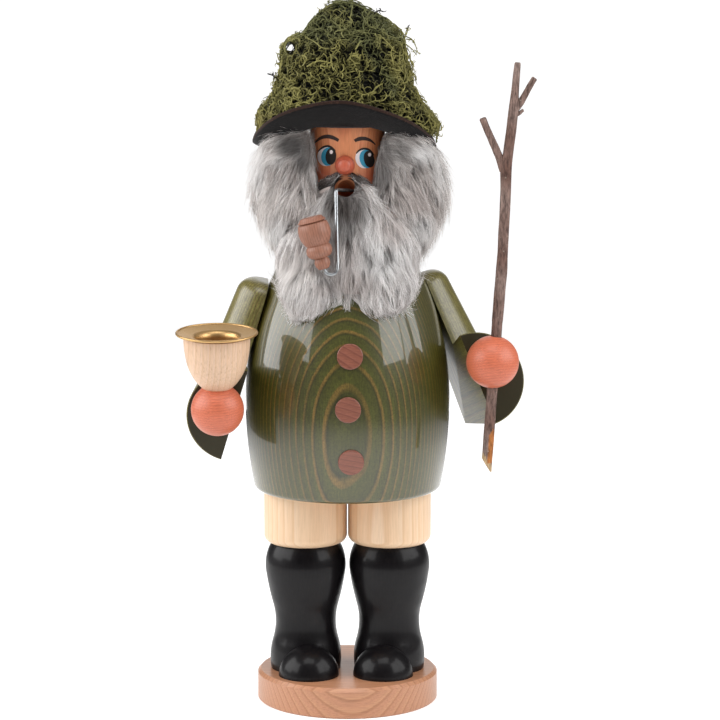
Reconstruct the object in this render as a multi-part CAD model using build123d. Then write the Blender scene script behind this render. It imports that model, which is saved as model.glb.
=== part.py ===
# A German incense smoker: a turned wooden woodsman with a moss hat, a candle cup and a staff.
# Z is up, the figure faces -Y, and the origin is the centre of the base's underside.
# Left and right are the figure's own: the right hand carries the candle cup, the left the staff.
from build123d import *

import os
from math import acos, cos, pi, radians, sin, sqrt, tan

# Fits between pieces
glue_gap = 0.05
running_gap = 0.08
soft_gap = 0.35
overrun = 1.0

# Base
base_radius = 38.9
base_thickness = 13.0
base_top_bevel = 1.4
base_foot_bevel = 0.6

# Legs: black boots, quarter-ball toe caps and plain thighs
leg_spacing = 36.2
boot_height = 55.5
boot_radius = 17.3
boot_shares = [(0, 0.867), (0.146, 0.878), (0.235, 0.82), (0.511, 0.814), (0.774, 0.993), (1, 0.85)]
toe_radius = 13.0
toe_seat_depth = 1.0
right_toe_angle = 6
left_toe_angle = 11
thigh_radius = 17.9
thigh_length = 24.0
thigh_round = 3.6
leg_dowel_radius = 4.0
leg_dowel_length = 18.0

# Plug on the thighs, which carries the incense and enters the jacket
plug_height = 14.0
plug_bevel = 1.2
draught_radius = 4.2
draught_set_back = 20.5
plate_radius = 14.5
plate_wall = 0.5
plate_rim = 1.8
plate_seat_depth = 1.0
tack_radius = 0.8
tack_length = 9.0
tack_head_radius = 2.2
tack_head_height = 0.9

# Jacket: a hollow turned barrel
jacket_height = 110.5
jacket_radius = 43.8
jacket_shares = [(0, 0.908), (0.17, 0.975), (0.36, 1), (0.843, 0.717), (1, 0.37)]
jacket_round = 2.6
bore_radius = 30.0
bore_height = 70.0
jacket_crown = 9.5
neck_radius = 9.0
chamber_top_radius = 13.0
profile_sample_count = 120

# Buttons: plugs set square to the barrel's surface
button_radius = 5.4
button_stand = 0.9
button_depth = 5.0
button_round = 0.45
button_height_shares = [0.568, 0.369, 0.168]
button_set_shares = [0.19, 0.04, 0.27]
button_names = ["upper_button", "middle_button", "lower_button"]

# Arms: a flared turning, mitred at the elbow, turned over and sawn in half lengthwise
shoulder_radius = 11.3
shoulder_round = 7.4
cuff_radius = 20.1
cuff_round = 0.6
upper_arm_length = 49.2
forearm_length = 36.5
arm_seat_depth = 0.4
shoulder_dowel_radius = 3.0
shoulder_dowel_length = 13.0
shoulder_dowel_depth = 5.0
shoulder_dowel_share = 0.72
right_arm = {
    "side": -1, "yaw": -4, "lean": 16.5, "swing": -5, "height": 135.2, "forward": -3.4,
    "hand_out": 8.2, "hand_rise": 3.0,
}
left_arm = {
    "side": 1, "yaw": 15, "lean": 18.6, "swing": 15.5, "height": 137.9, "forward": 5.5,
    "hand_out": 6.2, "hand_rise": 4.4,
}

# Hands: balls pegged to the cuffs
hand_radius = 11.0
hand_seat_depth = 0.5
hand_peg_radius = 2.0
hand_peg_length = 11.0

# Candle cup and its brass socket
cup_tilt = 5
cup_height = 21.8
cup_radius = 13.8
cup_shares = [(0, 0.435), (0.292, 0.79), (0.498, 0.909), (1, 1)]
candle_radius = 8.6
socket_wall = 0.5
socket_depth = 13.0
socket_flare = 2.2
socket_flange_radius = 16.5
socket_flange_rise = 1.3
socket_bead_radius = 0.55

# Staff: a forked twig through the left hand
staff_radius = 2.35
staff_lean = 3.8
staff_below = 46.5
staff_set = 0.7
staff_straight_above = 15.0
staff_height = 124.6
staff_foot_cut = 55
staff_shares = [
    (0.1, 0, 1), (0.27, 0.05, 0.97), (0.3, 0.1, 1.04), (0.34, 0.06, 0.96), (0.56, -0.2, 0.93),
    (0.65, -0.5, 1.02), (0.7, -0.3, 0.92), (0.78, -0.05, 0.86), (0.85, 0.1, 0.9), (0.9, 0.1, 0.68),
    (1, 0.2, 0.56),
]
branch_shares = [
    (0.64, -0.9, 0.81, -5.1, 0.72, 0.6),
    (0.84, 0.2, 0.953, 3.55, 0.66, 0.5),
    (0.825, 0.3, 0.845, 2.0, 0.42, 0.24),
]

# Head, with the smoke channel, and the nose
head_height = 60.0
head_radius = 16.0
head_shares = [(0, 0.8), (0.15, 0.92), (0.402, 0.975), (0.727, 1), (1, 0.45)]
face_share = 0.975
face_turn = 4
tenon_length = 9.0
smoke_radius = 5.0
mouth_height_share = 0.305
mouth_radius = 4.5
mouth_slant = 28
mouth_side = 0.6
nose_height_share = 0.492
nose_radius = 4.2
nose_sink = 0.4
nose_peg_radius = 1.5
nose_peg_length = 6.0

# Pipe: a turned bowl on a bent wire that is pushed into the mouth's left wall
wire_radius = 0.78
wire_bend_radius = 1.9
wire_loop_radius = 2.5
pin_depth = 5.0
pin_side_share = 0.32
elbow_out = 12.0
elbow_side = 3.45
elbow_rise = 2.1
pin_rise = 0.2
loop_out = 23.5
loop_fall = 32.0
loop_side = 2.0
loop_width = 5.0
bowl_length = 22.0
bowl_radius = 6.7
bowl_lean = 14.5
bowl_set = 2.3
bowl_bore_depth = 5.0
bowl_shares = [(0, 0.3), (0.1, 0.48), (0.21, 0.4), (0.34, 0.81), (0.46, 0.68), (0.7, 1), (0.88, 0.9)]
bowl_groove_share = 0.04
bowl_top_share = 0.66

# Hat: a felt hood with a saddle brim, and the moss on it
hat_seat_share = 0.724
felt_thickness = 1.8
brim_front_radius = 35.5
brim_side_radius = 39.0
brim_front_rise = 12.3
brim_side_drop = 6.0
brim_skew = 1.6
brim_back_share = 0.8
brim_middle_share = 0.5
brim_curl_share = 0.22
brim_point_count = 16
crown_height = 39.8
crown_shares = [(0, 1), (0.296, 0.989), (0.624, 0.865), (1, 0.1)]
moss_height = 53.8
moss_shares = [
    (0, 1), (0.128, 0.97), (0.242, 0.79), (0.383, 0.76), (0.545, 0.7), (0.658, 0.67), (0.773, 0.47),
    (0.885, 0.36), (1, 0.08),
]
moss_front_share = 0.86

# Fur: bulges in shares of the head's radius, as side, front, rise above the neck, radius, half height
right_hair_shares = [
    (-1.5, 0.15, 1.28, 0.98, 1.55), (-1.3, 0.62, 0.5, 0.85, 1.08), (-1.42, 0.3, 2.05, 0.8, 0.9),
]
left_hair_shares = [
    (1.6, 0.1, 1.2, 1.03, 1.6), (1.38, 0.62, 0.45, 0.88, 1.12), (1.46, 0.28, 1.98, 0.84, 0.95),
]
back_hair_shares = [(0, -0.72, 1.15, 1.12, 1.6), (0.2, -0.9, 0.35, 0.95, 1.05)]
beard_shares = [
    (0, 0.9, 0.5, 0.92, 0.95), (-0.9, 1.05, -0.45, 0.85, 1.35), (0.92, 1.2, -0.4, 0.86, 1.35),
    (0.1, 1.5, -1, 0.72, 1.3), (-1, 1.75, -1.42, 0.62, 0.8), (0.95, 1.8, -1.28, 0.64, 0.82),
]
moustache_shares = [(-0.05, 0.58, 1, 0.76, 0.76)]
mouth_hole_share = 1.25

leg_top = base_thickness + boot_height + thigh_length
neck_height = leg_top + jacket_height
hat_height = neck_height + hat_seat_share * head_height
cup_foot_radius = cup_shares[0][1] * cup_radius
ball_seat = sqrt(hand_radius**2 - cup_foot_radius**2)
socket_radius = candle_radius + socket_wall
UP = Vector(0, 0, 1)
STANDING = (Align.CENTER, Align.CENTER, Align.MIN)
AHEAD = (Align.CENTER, Align.MAX, Align.MIN)


def stations(shares, radius, height, base):
    """Points in the XZ plane from shares of a height and a radius."""
    return [Vector(r * radius, 0, base + h * height) for h, r in shares]


def grown(shares, share):
    """The same stations, each further out by a share of the radius."""
    return [(height, radius + share) for height, radius in shares]


def outline(shares, radius, height, base):
    """A smooth side of tangent arcs: the first through three points, each other one to its next point."""
    points = stations(shares, radius, height, base)
    arcs = [ThreePointArc(*points[:3])]
    for point in points[3:]:
        arcs.append(TangentArc(arcs[-1] @ 1, point, tangent=arcs[-1] % 1))
    return Wire([edge for arc in arcs for edge in arc.edges()])


def beads(shares, radius, height, base):
    """A side of separate arcs through three points each, with a valley between two arcs."""
    points = stations(shares, radius, height, base)
    arcs = [ThreePointArc(*points[i : i + 3]) for i in range(0, len(points) - 1, 2)]
    return Wire([edge for arc in arcs for edge in arc.edges()])


def turned(*edges):
    """The solid that a closed outline in the XZ plane turns about Z."""
    drawn = [edge for part in edges for edge in part.edges()]
    return revolve(make_face(drawn), Axis.Z)


def spindle(curve):
    """A turning whose side is one curve and whose ends are flat."""
    low, high = curve @ 0, curve @ 1
    return turned(curve, Polyline(high, (0, 0, high.Z), (0, 0, low.Z), low))


def rod(start, end, radius):
    """A round rod from one point to another."""
    span = end - start
    return Plane(start, z_dir=span) * Cylinder(radius, span.length, align=STANDING)


def peg(middle, direction, radius, length, gap=0):
    """A dowel about its middle, or with a gap the hole for it."""
    half = direction.normalized() * (length / 2 + gap)
    return rod(middle - half, middle + half, radius + gap)


def base_disc():
    disc = Cylinder(base_radius, base_thickness, align=STANDING)
    disc = chamfer(disc.edges().sort_by(Axis.Z)[-1], base_top_bevel)
    return chamfer(disc.edges().sort_by(Axis.Z)[0], base_foot_bevel) - leg_dowels(glue_gap)


def leg_dowels(gap=0):
    """Six dowels: base to boot, boot to thigh and thigh to plug, on both sides."""
    levels = [base_thickness, base_thickness + boot_height, leg_top]
    return [
        peg(Vector(side * leg_spacing / 2, 0, level), UP, leg_dowel_radius, leg_dowel_length, gap)
        for side in (-1, 1)
        for level in levels
    ]


def toe_plane(side, angle):
    """Where a toe cap's flat back stands: in front of the boot, turned a little inwards."""
    out = radians(angle) * side
    facing = Vector(-sin(out), -cos(out), 0)
    seat = boot_shares[0][1] * boot_radius - toe_seat_depth
    axis = Vector(side * leg_spacing / 2, 0, base_thickness)
    return Plane(axis + facing * seat, x_dir=UP.cross(facing), z_dir=UP)


def boot(side, angle):
    body = spindle(outline(boot_shares, boot_radius, boot_height, base_thickness))
    body = Pos(side * leg_spacing / 2, 0, 0) * body
    seat = Box(2 * toe_radius, toe_radius, toe_radius, align=AHEAD)
    return body - toe_plane(side, angle) * seat - leg_dowels(glue_gap)


def toe_cap(side, angle):
    """A quarter of a ball."""
    ball = Sphere(toe_radius)
    keep = Box(2 * toe_radius, toe_radius, toe_radius, align=AHEAD)
    return toe_plane(side, angle) * (ball & keep)


def thigh(side):
    axis = Pos(side * leg_spacing / 2, 0, base_thickness + boot_height)
    leg = Cylinder(thigh_radius, thigh_length, align=STANDING)
    leg = fillet(leg.edges().sort_by(Axis.Z)[0], thigh_round)
    return axis * leg - leg_dowels(glue_gap)


def hip_plug():
    radius = bore_radius - running_gap
    plug = Cylinder(radius, plug_height, align=STANDING)
    plug = chamfer(plug.edges().sort_by(Axis.Z)[-1], plug_bevel)
    draught = Pos(0, draught_set_back, 0) * Cylinder(draught_radius, 3 * plug_height)
    seat = Cylinder(plate_radius + soft_gap, plug_height, align=STANDING)
    seat = Pos(0, 0, plug_height - plate_seat_depth) * seat
    top = Vector(0, 0, plug_height)
    tack_hole = rod(top - UP * tack_length, top, tack_radius + glue_gap)
    return Pos(0, 0, leg_top) * (plug - draught - seat - tack_hole) - leg_dowels(glue_gap)


def incense_plate():
    """A pressed dish with a rim and a hole for its tack."""
    base = leg_top + plug_height - plate_seat_depth
    wall = plate_wall
    section = Polyline(
        (tack_radius + glue_gap, 0, base),
        (plate_radius - wall, 0, base),
        (plate_radius, 0, base + plate_rim),
        (plate_radius - wall, 0, base + plate_rim),
        (plate_radius - 2 * wall, 0, base + wall),
        (tack_radius + glue_gap, 0, base + wall),
        close=True,
    )
    return turned(section)


def plate_tack():
    """A domed tack through the middle of the dish."""
    seat = leg_top + plug_height - plate_seat_depth + plate_wall
    point = seat - tack_length + 2 * overrun
    brim, top = Vector(tack_head_radius, 0, seat), Vector(0, 0, seat + tack_head_height)
    dome = TangentArc(top, brim, tangent=(1, 0, 0))
    shank = Polyline(brim, (tack_radius, 0, seat), (tack_radius, 0, point), (0, 0, point), top)
    return turned(dome, shank)


def jacket_side(grow=0):
    """The barrel's outline; grown, it bounds what lies on the barrel."""
    return outline(grown(jacket_shares, grow / jacket_radius), jacket_radius, jacket_height, leg_top)


def jacket_at(height):
    """The barrel's radius at a height, and the slope of its side there."""
    side = jacket_side()
    low, high = 0.0, 1.0
    while high - low > 1 / profile_sample_count**2:
        middle = (low + high) / 2
        low, high = (middle, high) if (side @ middle).Z < height else (low, middle)
    tangent = side % low
    return (side @ low).X, Vector(tangent.Z, 0, -tangent.X)


def jacket_reach(lean):
    """How far the barrel reaches towards a plane that leans out by an angle."""
    side = jacket_side()
    points = [side @ (i / profile_sample_count) for i in range(profile_sample_count + 1)]
    return max(p.X * cos(radians(lean)) + p.Z * sin(radians(lean)) for p in points)


def jacket():
    side = jacket_side()
    body = spindle(side)
    body = fillet(body.edges().sort_by(Axis.Z)[0], jacket_round)
    body = body - chamber() - rod(Vector(0, 0, leg_top), Vector(0, 0, neck_height + overrun), neck_radius)
    for arm in (right_arm, left_arm):
        reach = 2 * jacket_radius
        outside = Box(2 * reach, reach, 2 * reach, align=(Align.CENTER, Align.MIN, Align.CENTER))
        frame = arm_plane(arm)
        if arm["side"] < 0:
            outside = mirror(outside, Plane.XZ)
        body = body - frame * outside
    return body - shoulder_dowels(glue_gap) - [button_plug(i, glue_gap) for i in range(len(button_names))]


def chamber():
    """The smoke chamber: a straight bore that closes in under the crown."""
    top = neck_height - jacket_crown
    shoulder = leg_top + bore_height
    wall = Line((bore_radius, 0, leg_top - overrun), (bore_radius, 0, shoulder))
    arch = TangentArc((bore_radius, 0, shoulder), (chamber_top_radius, 0, top), tangent=(0, 0, 1))
    lid = Polyline((chamber_top_radius, 0, top), (0, 0, top), (0, 0, leg_top - overrun), wall @ 0)
    return turned(wall, arch, lid)


def button_plane(index):
    height = leg_top + button_height_shares[index] * jacket_height
    radius, normal = jacket_at(height)
    seat = Vector(button_set_shares[index] * button_radius, -radius, height)
    return Plane(seat, x_dir=(1, 0, 0), z_dir=(0, -normal.X, normal.Z))


def button_plug(index, gap=0):
    rise = overrun if gap else button_stand
    plug = Cylinder(button_radius + gap, button_depth + rise, align=STANDING)
    plug = Pos(0, 0, -button_depth) * plug
    return button_plane(index) * (plug if gap else fillet(plug.edges().sort_by(Axis.Z)[-1], button_round))


def mitre_shift():
    """How far the middle of the mitred face lies from the turning's axis, along each leg of the elbow."""
    flare = (cuff_radius - shoulder_radius) / (upper_arm_length + forearm_length)
    elbow_radius = shoulder_radius + flare * upper_arm_length
    return elbow_radius * flare / (1 - flare**2)


def arm_plane(arm):
    """The sawn face's frame at the elbow: X along the forearm, Y across the barrel's side, Z up the arm."""
    yaw, lean, swing = (radians(arm[key]) for key in ("yaw", "lean", "swing"))
    out = Vector(arm["side"] * cos(yaw), sin(yaw), 0)
    ahead = Vector(arm["side"] * sin(yaw), -cos(yaw), 0)
    down = out * sin(lean) - UP * cos(lean)
    forearm = ahead * cos(swing) - down * sin(swing)
    upper = (down * cos(swing) + ahead * sin(swing)) * -1
    reach = jacket_reach(arm["lean"]) - arm_seat_depth
    distance = (reach - sin(lean) * arm["height"]) / cos(lean)
    return Plane(out * distance + ahead * arm["forward"] + UP * arm["height"], x_dir=forearm, z_dir=upper)


def arm_blank(grow=0):
    """The flared turning, shoulder up and its elbow at the origin; or grown, the space round it."""
    top, foot = upper_arm_length + grow, -forearm_length - grow
    profile = FilletPolyline(
        (0, 0, top), (shoulder_radius + grow, 0, top), (cuff_radius + grow, 0, foot), (0, 0, foot),
        radius=[shoulder_round, cuff_round],
    )
    return turned(profile, Line((0, 0, foot), (0, 0, top)))


def arm_half(whole, arm):
    """The half of a turning that lies on the outer side of the sawn face."""
    return arm_plane(arm) * split(whole, bisect_by=Plane((0, 0, 0), z_dir=(0, arm["side"], 0)), keep=Keep.TOP)


def upper_arm(arm):
    mitre = Plane((0, 0, 0), z_dir=(1, 0, -1))
    return arm_half(split(arm_blank(), bisect_by=mitre, keep=Keep.BOTTOM), arm) - shoulder_dowels(glue_gap)


def forearm(arm):
    """The blank's lower end, turned over on the mitre so that it points ahead."""
    mitre = Plane((0, 0, 0), z_dir=(1, 0, -1))
    shift = mitre_shift()
    lower = split(arm_blank(), bisect_by=mitre, keep=Keep.TOP)
    lower = lower.rotate(Axis((-shift, 0, -shift), (1, 0, -1)), 180)
    return arm_half(lower, arm) - hand_pegs(glue_gap)


def shoulder_dowels(gap=0):
    """A dowel from each upper arm into the barrel's wall, square to the sawn face."""
    dowels = []
    for arm in (right_arm, left_arm):
        plane = arm_plane(arm)
        outward = plane.y_dir * arm["side"]
        seat = plane.origin + plane.z_dir * (shoulder_dowel_share * upper_arm_length)
        middle = seat + outward * (shoulder_dowel_length / 2 - shoulder_dowel_depth)
        dowels.append(peg(middle, outward, shoulder_dowel_radius, shoulder_dowel_length, gap))
    return dowels


def hand_centre(arm):
    plane, shift = arm_plane(arm), 2 * mitre_shift()
    ahead = forearm_length - shift + hand_radius - hand_seat_depth
    aside = plane.y_dir * (arm["side"] * arm["hand_out"]) + plane.z_dir * (arm["hand_rise"] - shift)
    return plane.origin + plane.x_dir * ahead + aside


def hand_pegs(gap=0):
    """Pegs from both cuffs into the hands, and one from the right hand into the candle cup."""
    pegs = []
    for arm in (right_arm, left_arm):
        ahead = arm_plane(arm).x_dir
        seat = hand_centre(arm) - ahead * (hand_radius - hand_seat_depth)
        pegs.append(peg(seat, ahead, hand_peg_radius, hand_peg_length, gap))
    frame = cup_plane()
    pegs.append(peg(frame.origin, frame.z_dir, hand_peg_radius, hand_peg_length, gap))
    return pegs


def hand(arm):
    """A ball with a flat where it meets the cuff, and on the right hand one under the cup."""
    centre, ahead = hand_centre(arm), arm_plane(arm).x_dir
    ball = Pos(*centre) * Sphere(hand_radius)
    seat = centre - ahead * (hand_radius - hand_seat_depth)
    ball = split(ball, bisect_by=Plane(seat, z_dir=ahead), keep=Keep.TOP)
    if arm["side"] < 0:
        ball = split(ball, bisect_by=cup_plane(), keep=Keep.BOTTOM)
    else:
        ball = ball - staff_shaft(running_gap)
    return ball - hand_pegs(glue_gap)


def cup_plane():
    """The cup's foot on the right hand, tipped a little forwards."""
    tilt = radians(cup_tilt)
    axis = Vector(0, -sin(tilt), cos(tilt))
    return Plane(hand_centre(right_arm) + axis * ball_seat, x_dir=(1, 0, 0), z_dir=axis)


def candle_cup():
    """A tulip cup with a rounded mouth, bored for the socket."""
    side = outline(cup_shares, cup_radius, cup_height, 0)
    mouth = socket_radius + running_gap
    lip = (mouth + socket_flare, 0, cup_height)
    bend = mouth + socket_flare * (1 - cos(pi / 4)), 0, cup_height - socket_flare * (1 - sin(pi / 4))
    floor = cup_height - socket_depth - overrun
    throat = (mouth, 0, cup_height - socket_flare)
    section = [
        side, Line(side @ 1, lip), ThreePointArc(lip, bend, throat),
        Polyline(throat, (mouth, 0, floor), (0, 0, floor), (0, 0, 0), side @ 0),
    ]
    return cup_plane() * turned(*section) - hand_pegs(glue_gap)


def candle_socket():
    """A drawn brass tube with a floor, a flared mouth and a dished flange with a rolled edge."""
    inner, outer, flare, wall = candle_radius, socket_radius, socket_flare, socket_wall
    corner, flange, rise = outer + flare, socket_flange_radius, socket_flange_rise
    middle, slant = outer + flare * (1 - cos(pi / 4)), flare * (1 - sin(pi / 4))
    reach = (flare + wall) * cos(pi / 4)
    floor = wall - socket_depth
    section = [
        Polyline((0, 0, -socket_depth), (outer, 0, -socket_depth), (outer, 0, -flare)),
        ThreePointArc((outer, 0, -flare), (middle, 0, -slant), (corner, 0, 0)),
        Polyline((corner, 0, 0), (flange, 0, rise), (flange, 0, rise + wall), (corner, 0, wall)),
        ThreePointArc((corner, 0, wall), (corner - reach, 0, reach - flare), (inner, 0, -flare)),
        Polyline((inner, 0, -flare), (inner, 0, floor), (0, 0, floor), (0, 0, -socket_depth)),
    ]
    bead = Pos(0, 0, rise + wall / 2) * Torus(flange, socket_bead_radius)
    return cup_plane() * Pos(0, 0, cup_height) * (turned(*section) + bead)


def staff_plane():
    """The staff's own frame: Z along the shaft, with its origin beside the left hand's centre."""
    lean = radians(staff_lean)
    centre = hand_centre(left_arm) + Vector(staff_set, 0, 0)
    return Plane(centre, x_dir=(cos(lean), 0, -sin(lean)), z_dir=(sin(lean), 0, cos(lean)))


def staff_shaft(gap=0):
    """The straight part that slides in the hand, or with a gap the bore for it."""
    low = Vector(0, 0, -staff_below - gap)
    return staff_plane() * rod(low, Vector(0, 0, staff_straight_above + gap), staff_radius + gap)


def staff_point(side, height):
    return Vector(side * staff_radius, 0, height * staff_height)


def branch(low, low_side, high, high_side, thick, thin):
    """A side shoot that tapers from the stem to its tip."""
    start, end = staff_point(low_side, low), staff_point(high_side, high)
    stem = Cone(thick * staff_radius, thin * staff_radius, (end - start).length, align=STANDING)
    return Plane(start, z_dir=end - start) * stem


def staff():
    """The twig: its straight shaft with a slanting foot, the thinning top, two shoots and a bud."""
    rings = [Pos(staff_point(side, h)) * Circle(size * staff_radius) for h, side, size in staff_shares]
    slant = radians(staff_foot_cut)
    foot = Plane((0, 0, staff_radius - staff_below), z_dir=(sin(slant), 0, cos(slant)))
    shaft = split(staff_plane().to_local_coords(staff_shaft()), bisect_by=foot, keep=Keep.TOP)
    twig = shaft + loft(rings, ruled=True)
    for shares in branch_shares:
        twig = twig + branch(*shares)
    return staff_plane() * twig


def head_side(grow=0):
    return outline(grown(head_shares, grow / head_radius), head_radius, head_height, neck_height)


def face_plane(height_share, grow=0):
    """A frame on the face: Z out of it, with the head turned a little to its right."""
    turn = radians(face_turn)
    facing = Vector(-sin(turn), -cos(turn), 0)
    point = facing * (face_share * head_radius + grow) + UP * (neck_height + height_share * head_height)
    return Plane(point, x_dir=UP.cross(facing), z_dir=facing)


def mouth_axis():
    """The mouth's middle on the face, and the way that its bore runs in and down."""
    plane = face_plane(mouth_height_share)
    slant = radians(mouth_slant)
    return plane.origin + plane.x_dir * mouth_side, plane.z_dir * -cos(slant) - UP * sin(slant)


def mouth_bore(radius, inwards, outwards):
    middle, inward = mouth_axis()
    return rod(middle - inward * outwards, middle + inward * inwards, radius)


def head():
    """The turned head: tenon, smoke channel up from the jacket and out at the mouth, and the nose's seat."""
    body = spindle(head_side())
    foot = Vector(0, 0, neck_height - tenon_length)
    tenon = rod(foot, Vector(0, 0, neck_height + overrun), neck_radius - glue_gap)
    middle, inward = mouth_axis()
    run = head_radius / cos(radians(mouth_slant))
    meeting = (middle + inward * run).Z
    channel = rod(foot - UP * overrun, Vector(0, 0, meeting + smoke_radius), smoke_radius)
    body = body + tenon - channel - mouth_bore(mouth_radius, run, mouth_radius)
    return body - nose_ball() - nose_peg(glue_gap) - pin(running_gap)


def nose_ball():
    plane = face_plane(nose_height_share, nose_sink)
    return Pos(*plane.origin) * Sphere(nose_radius)


def nose_peg(gap=0):
    plane = face_plane(nose_height_share)
    return rod(plane.origin - plane.z_dir * (nose_peg_length + gap), plane.origin, nose_peg_radius + gap)


def nose():
    return nose_ball() + nose_peg()


def pipe_points():
    """The wire's corners: its end in the mouth's wall, the elbow before the mouth, the loop and the bowl."""
    middle, inward = mouth_axis()
    plane = face_plane(mouth_height_share)
    side, out = plane.x_dir, plane.z_dir
    elbow = middle - side * elbow_side + out * elbow_out + UP * elbow_rise
    wall = middle + side * (mouth_radius - wire_radius) - out * (pin_side_share * elbow_out) + UP * pin_rise
    inner = wall + (wall - elbow).normalized() * pin_depth
    low = middle - side * loop_side + out * loop_out - UP * loop_fall
    turn = low - side * loop_width
    lean = radians(bowl_lean)
    axis = UP * cos(lean) - side * sin(lean)
    return inner, wall, elbow, low, turn, axis


def pin(gap):
    """The hole in the mouth's wall for the wire's end."""
    inner, wall, elbow = pipe_points()[:3]
    along = (inner - wall).normalized()
    return rod(wall - along * wire_bend_radius, inner + along * gap, wire_radius + gap)


def bowl_foot():
    points = pipe_points()
    return points[4] + points[5] * bowl_set


def pipe_wire():
    """The stem: pushed into the mouth's wall, down the beard and up into the bowl."""
    inner, wall, elbow, low, turn, axis = pipe_points()
    end = bowl_foot() + axis * (bowl_bore_depth - running_gap)
    corners = [inner, elbow, low, turn, end]
    path = rounded_path(corners, [wire_bend_radius, wire_loop_radius, wire_loop_radius])
    section = Plane(inner, z_dir=elbow - inner) * Circle(wire_radius)
    return sweep(section, path)


def rounded_path(corners, radii):
    """Straight runs joined by tangent arcs."""
    edges, start = [], corners[0]
    for before, corner, after, radius in zip(corners, corners[1:], corners[2:], radii):
        back, on = (before - corner).normalized(), (after - corner).normalized()
        half = acos(max(-1, min(1, back.dot(on)))) / 2
        first, last = corner + back * (radius / tan(half)), corner + on * (radius / tan(half))
        centre = corner + (back + on).normalized() * (radius / sin(half))
        middle = centre + (corner - centre).normalized() * radius
        edges += [Line(start, first), ThreePointArc(first, middle, last)]
        start = last
    edges.append(Line(start, corners[-1]))
    return Wire([edge for part in edges for edge in part.edges()])


def pipe_bowl():
    """The turned bowl: a knob, a small bulge, the bowl and a grooved rim."""
    side = beads(bowl_shares, bowl_radius, bowl_length, 0)
    waist = side @ 1
    groove = bowl_groove_share * bowl_length
    rim = Polyline(
        waist, (waist.X - groove, 0, waist.Z + groove / 2), (waist.X, 0, waist.Z + groove),
        (waist.X - groove, 0, bowl_length - groove), (bowl_top_share * bowl_radius, 0, bowl_length),
        (0, 0, bowl_length), (0, 0, 0), side @ 0,
    )
    bowl = turned(side, rim)
    bore = rod(Vector(0, 0, -overrun), Vector(0, 0, bowl_bore_depth), wire_radius + glue_gap)
    axis = pipe_points()[5]
    return Plane(bowl_foot(), z_dir=axis) * (bowl - bore)


def brim_ring(share, lift):
    """A closed curve round the brim: at share 0 it is the crown's seam, at 1 the outer edge."""
    points = []
    for i in range(brim_point_count):
        turn = 2 * pi * i / brim_point_count
        side, front = cos(turn) ** 2, sin(turn) ** 2
        seam = head_radius + soft_gap + felt_thickness / 2
        reach = side * brim_side_radius + front * brim_front_radius
        ahead = 1 if sin(turn) < 0 else brim_back_share
        edge = front * brim_front_rise * ahead - side * brim_side_drop - cos(turn) * brim_skew
        radius = seam + share * (reach - seam)
        rise = edge * (share - brim_curl_share * share * (1 - share) * (1 if edge > 0 else -1))
        points.append((radius * cos(turn), radius * sin(turn), hat_height + rise + lift))
    return Wire([Spline(*points, periodic=True)])


def brim_body(below=0, above=0):
    """The saddle brim, filled across the head; it can be thickened downwards and upwards."""
    steps = [0, brim_middle_share, 1]
    rings = [brim_ring(share, -below) for share in steps]
    rings += [brim_ring(share, felt_thickness + above) for share in reversed(steps)]
    return Solid.make_loft(rings, ruled=True)


def crown(grow=0):
    """The hood's domed crown, or the space round it."""
    seam = head_radius + soft_gap + felt_thickness + grow
    return spindle(outline(crown_shares, seam, crown_height + grow, hat_height))


def felt_hat():
    """One felt hood: the saddle brim and a crown with room for the head."""
    low, high = (hat_height + side * 2 * felt_thickness for side in (-1, 1))
    opening = rod(Vector(0, 0, low), Vector(0, 0, high), head_radius + soft_gap / 2)
    return crown() + (brim_body() - opening) - crown(-felt_thickness) - opening


def hat_moss():
    """The moss cushion: a lumpy dome on the crown and the brim, short of the brim's front."""
    dome = spindle(beads(moss_shares, brim_side_radius, moss_height, hat_height))
    oval = Pos(0, 0, hat_height) * Ellipse(brim_side_radius + overrun, moss_front_share * brim_front_radius)
    moss = (dome & extrude(oval, moss_height + overrun)) - brim_body(moss_height, soft_gap) - crown(soft_gap)
    return moss.solids().sort_by(SortBy.VOLUME)[-1]


def tuft(shares, grow=0):
    """One bulge of fur: an upright turned lens, or the space round it."""
    side, front, rise, radius, half = (share * head_radius for share in shares)
    arc = ThreePointArc((0, 0, -half - grow), (radius + grow, 0, 0), (0, 0, half + grow))
    return Pos(side, -front, neck_height + rise) * turned(arc, Line(arc @ 1, arc @ 0))


def bulges(table, grow=0):
    body = tuft(table[0], grow)
    for shares in table[1:]:
        body = body + tuft(shares, grow)
    return body


def fur(table, neighbours=()):
    """A tuft of fur that lies on the head and the jacket and under the brim."""
    body = bulges(table)
    body = body - spindle(head_side(soft_gap)) - spindle(jacket_side(soft_gap))
    body = body - brim_body(soft_gap, moss_height)
    body = body - rod(Vector(0, 0, neck_height), Vector(0, 0, hat_height + overrun), head_radius + soft_gap)
    for other in neighbours:
        body = body - bulges(other, soft_gap)
    for arm in (right_arm, left_arm):
        body = body - arm_plane(arm) * arm_blank(soft_gap)
    body = body - mouth_bore(mouth_hole_share * mouth_radius, mouth_radius, 2 * head_radius) - bulged_nose()
    return body.solids().sort_by(SortBy.VOLUME)[-1]


def bulged_nose():
    plane = face_plane(nose_height_share, nose_sink)
    return Pos(*plane.origin) * Sphere(nose_radius + soft_gap)


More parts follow.
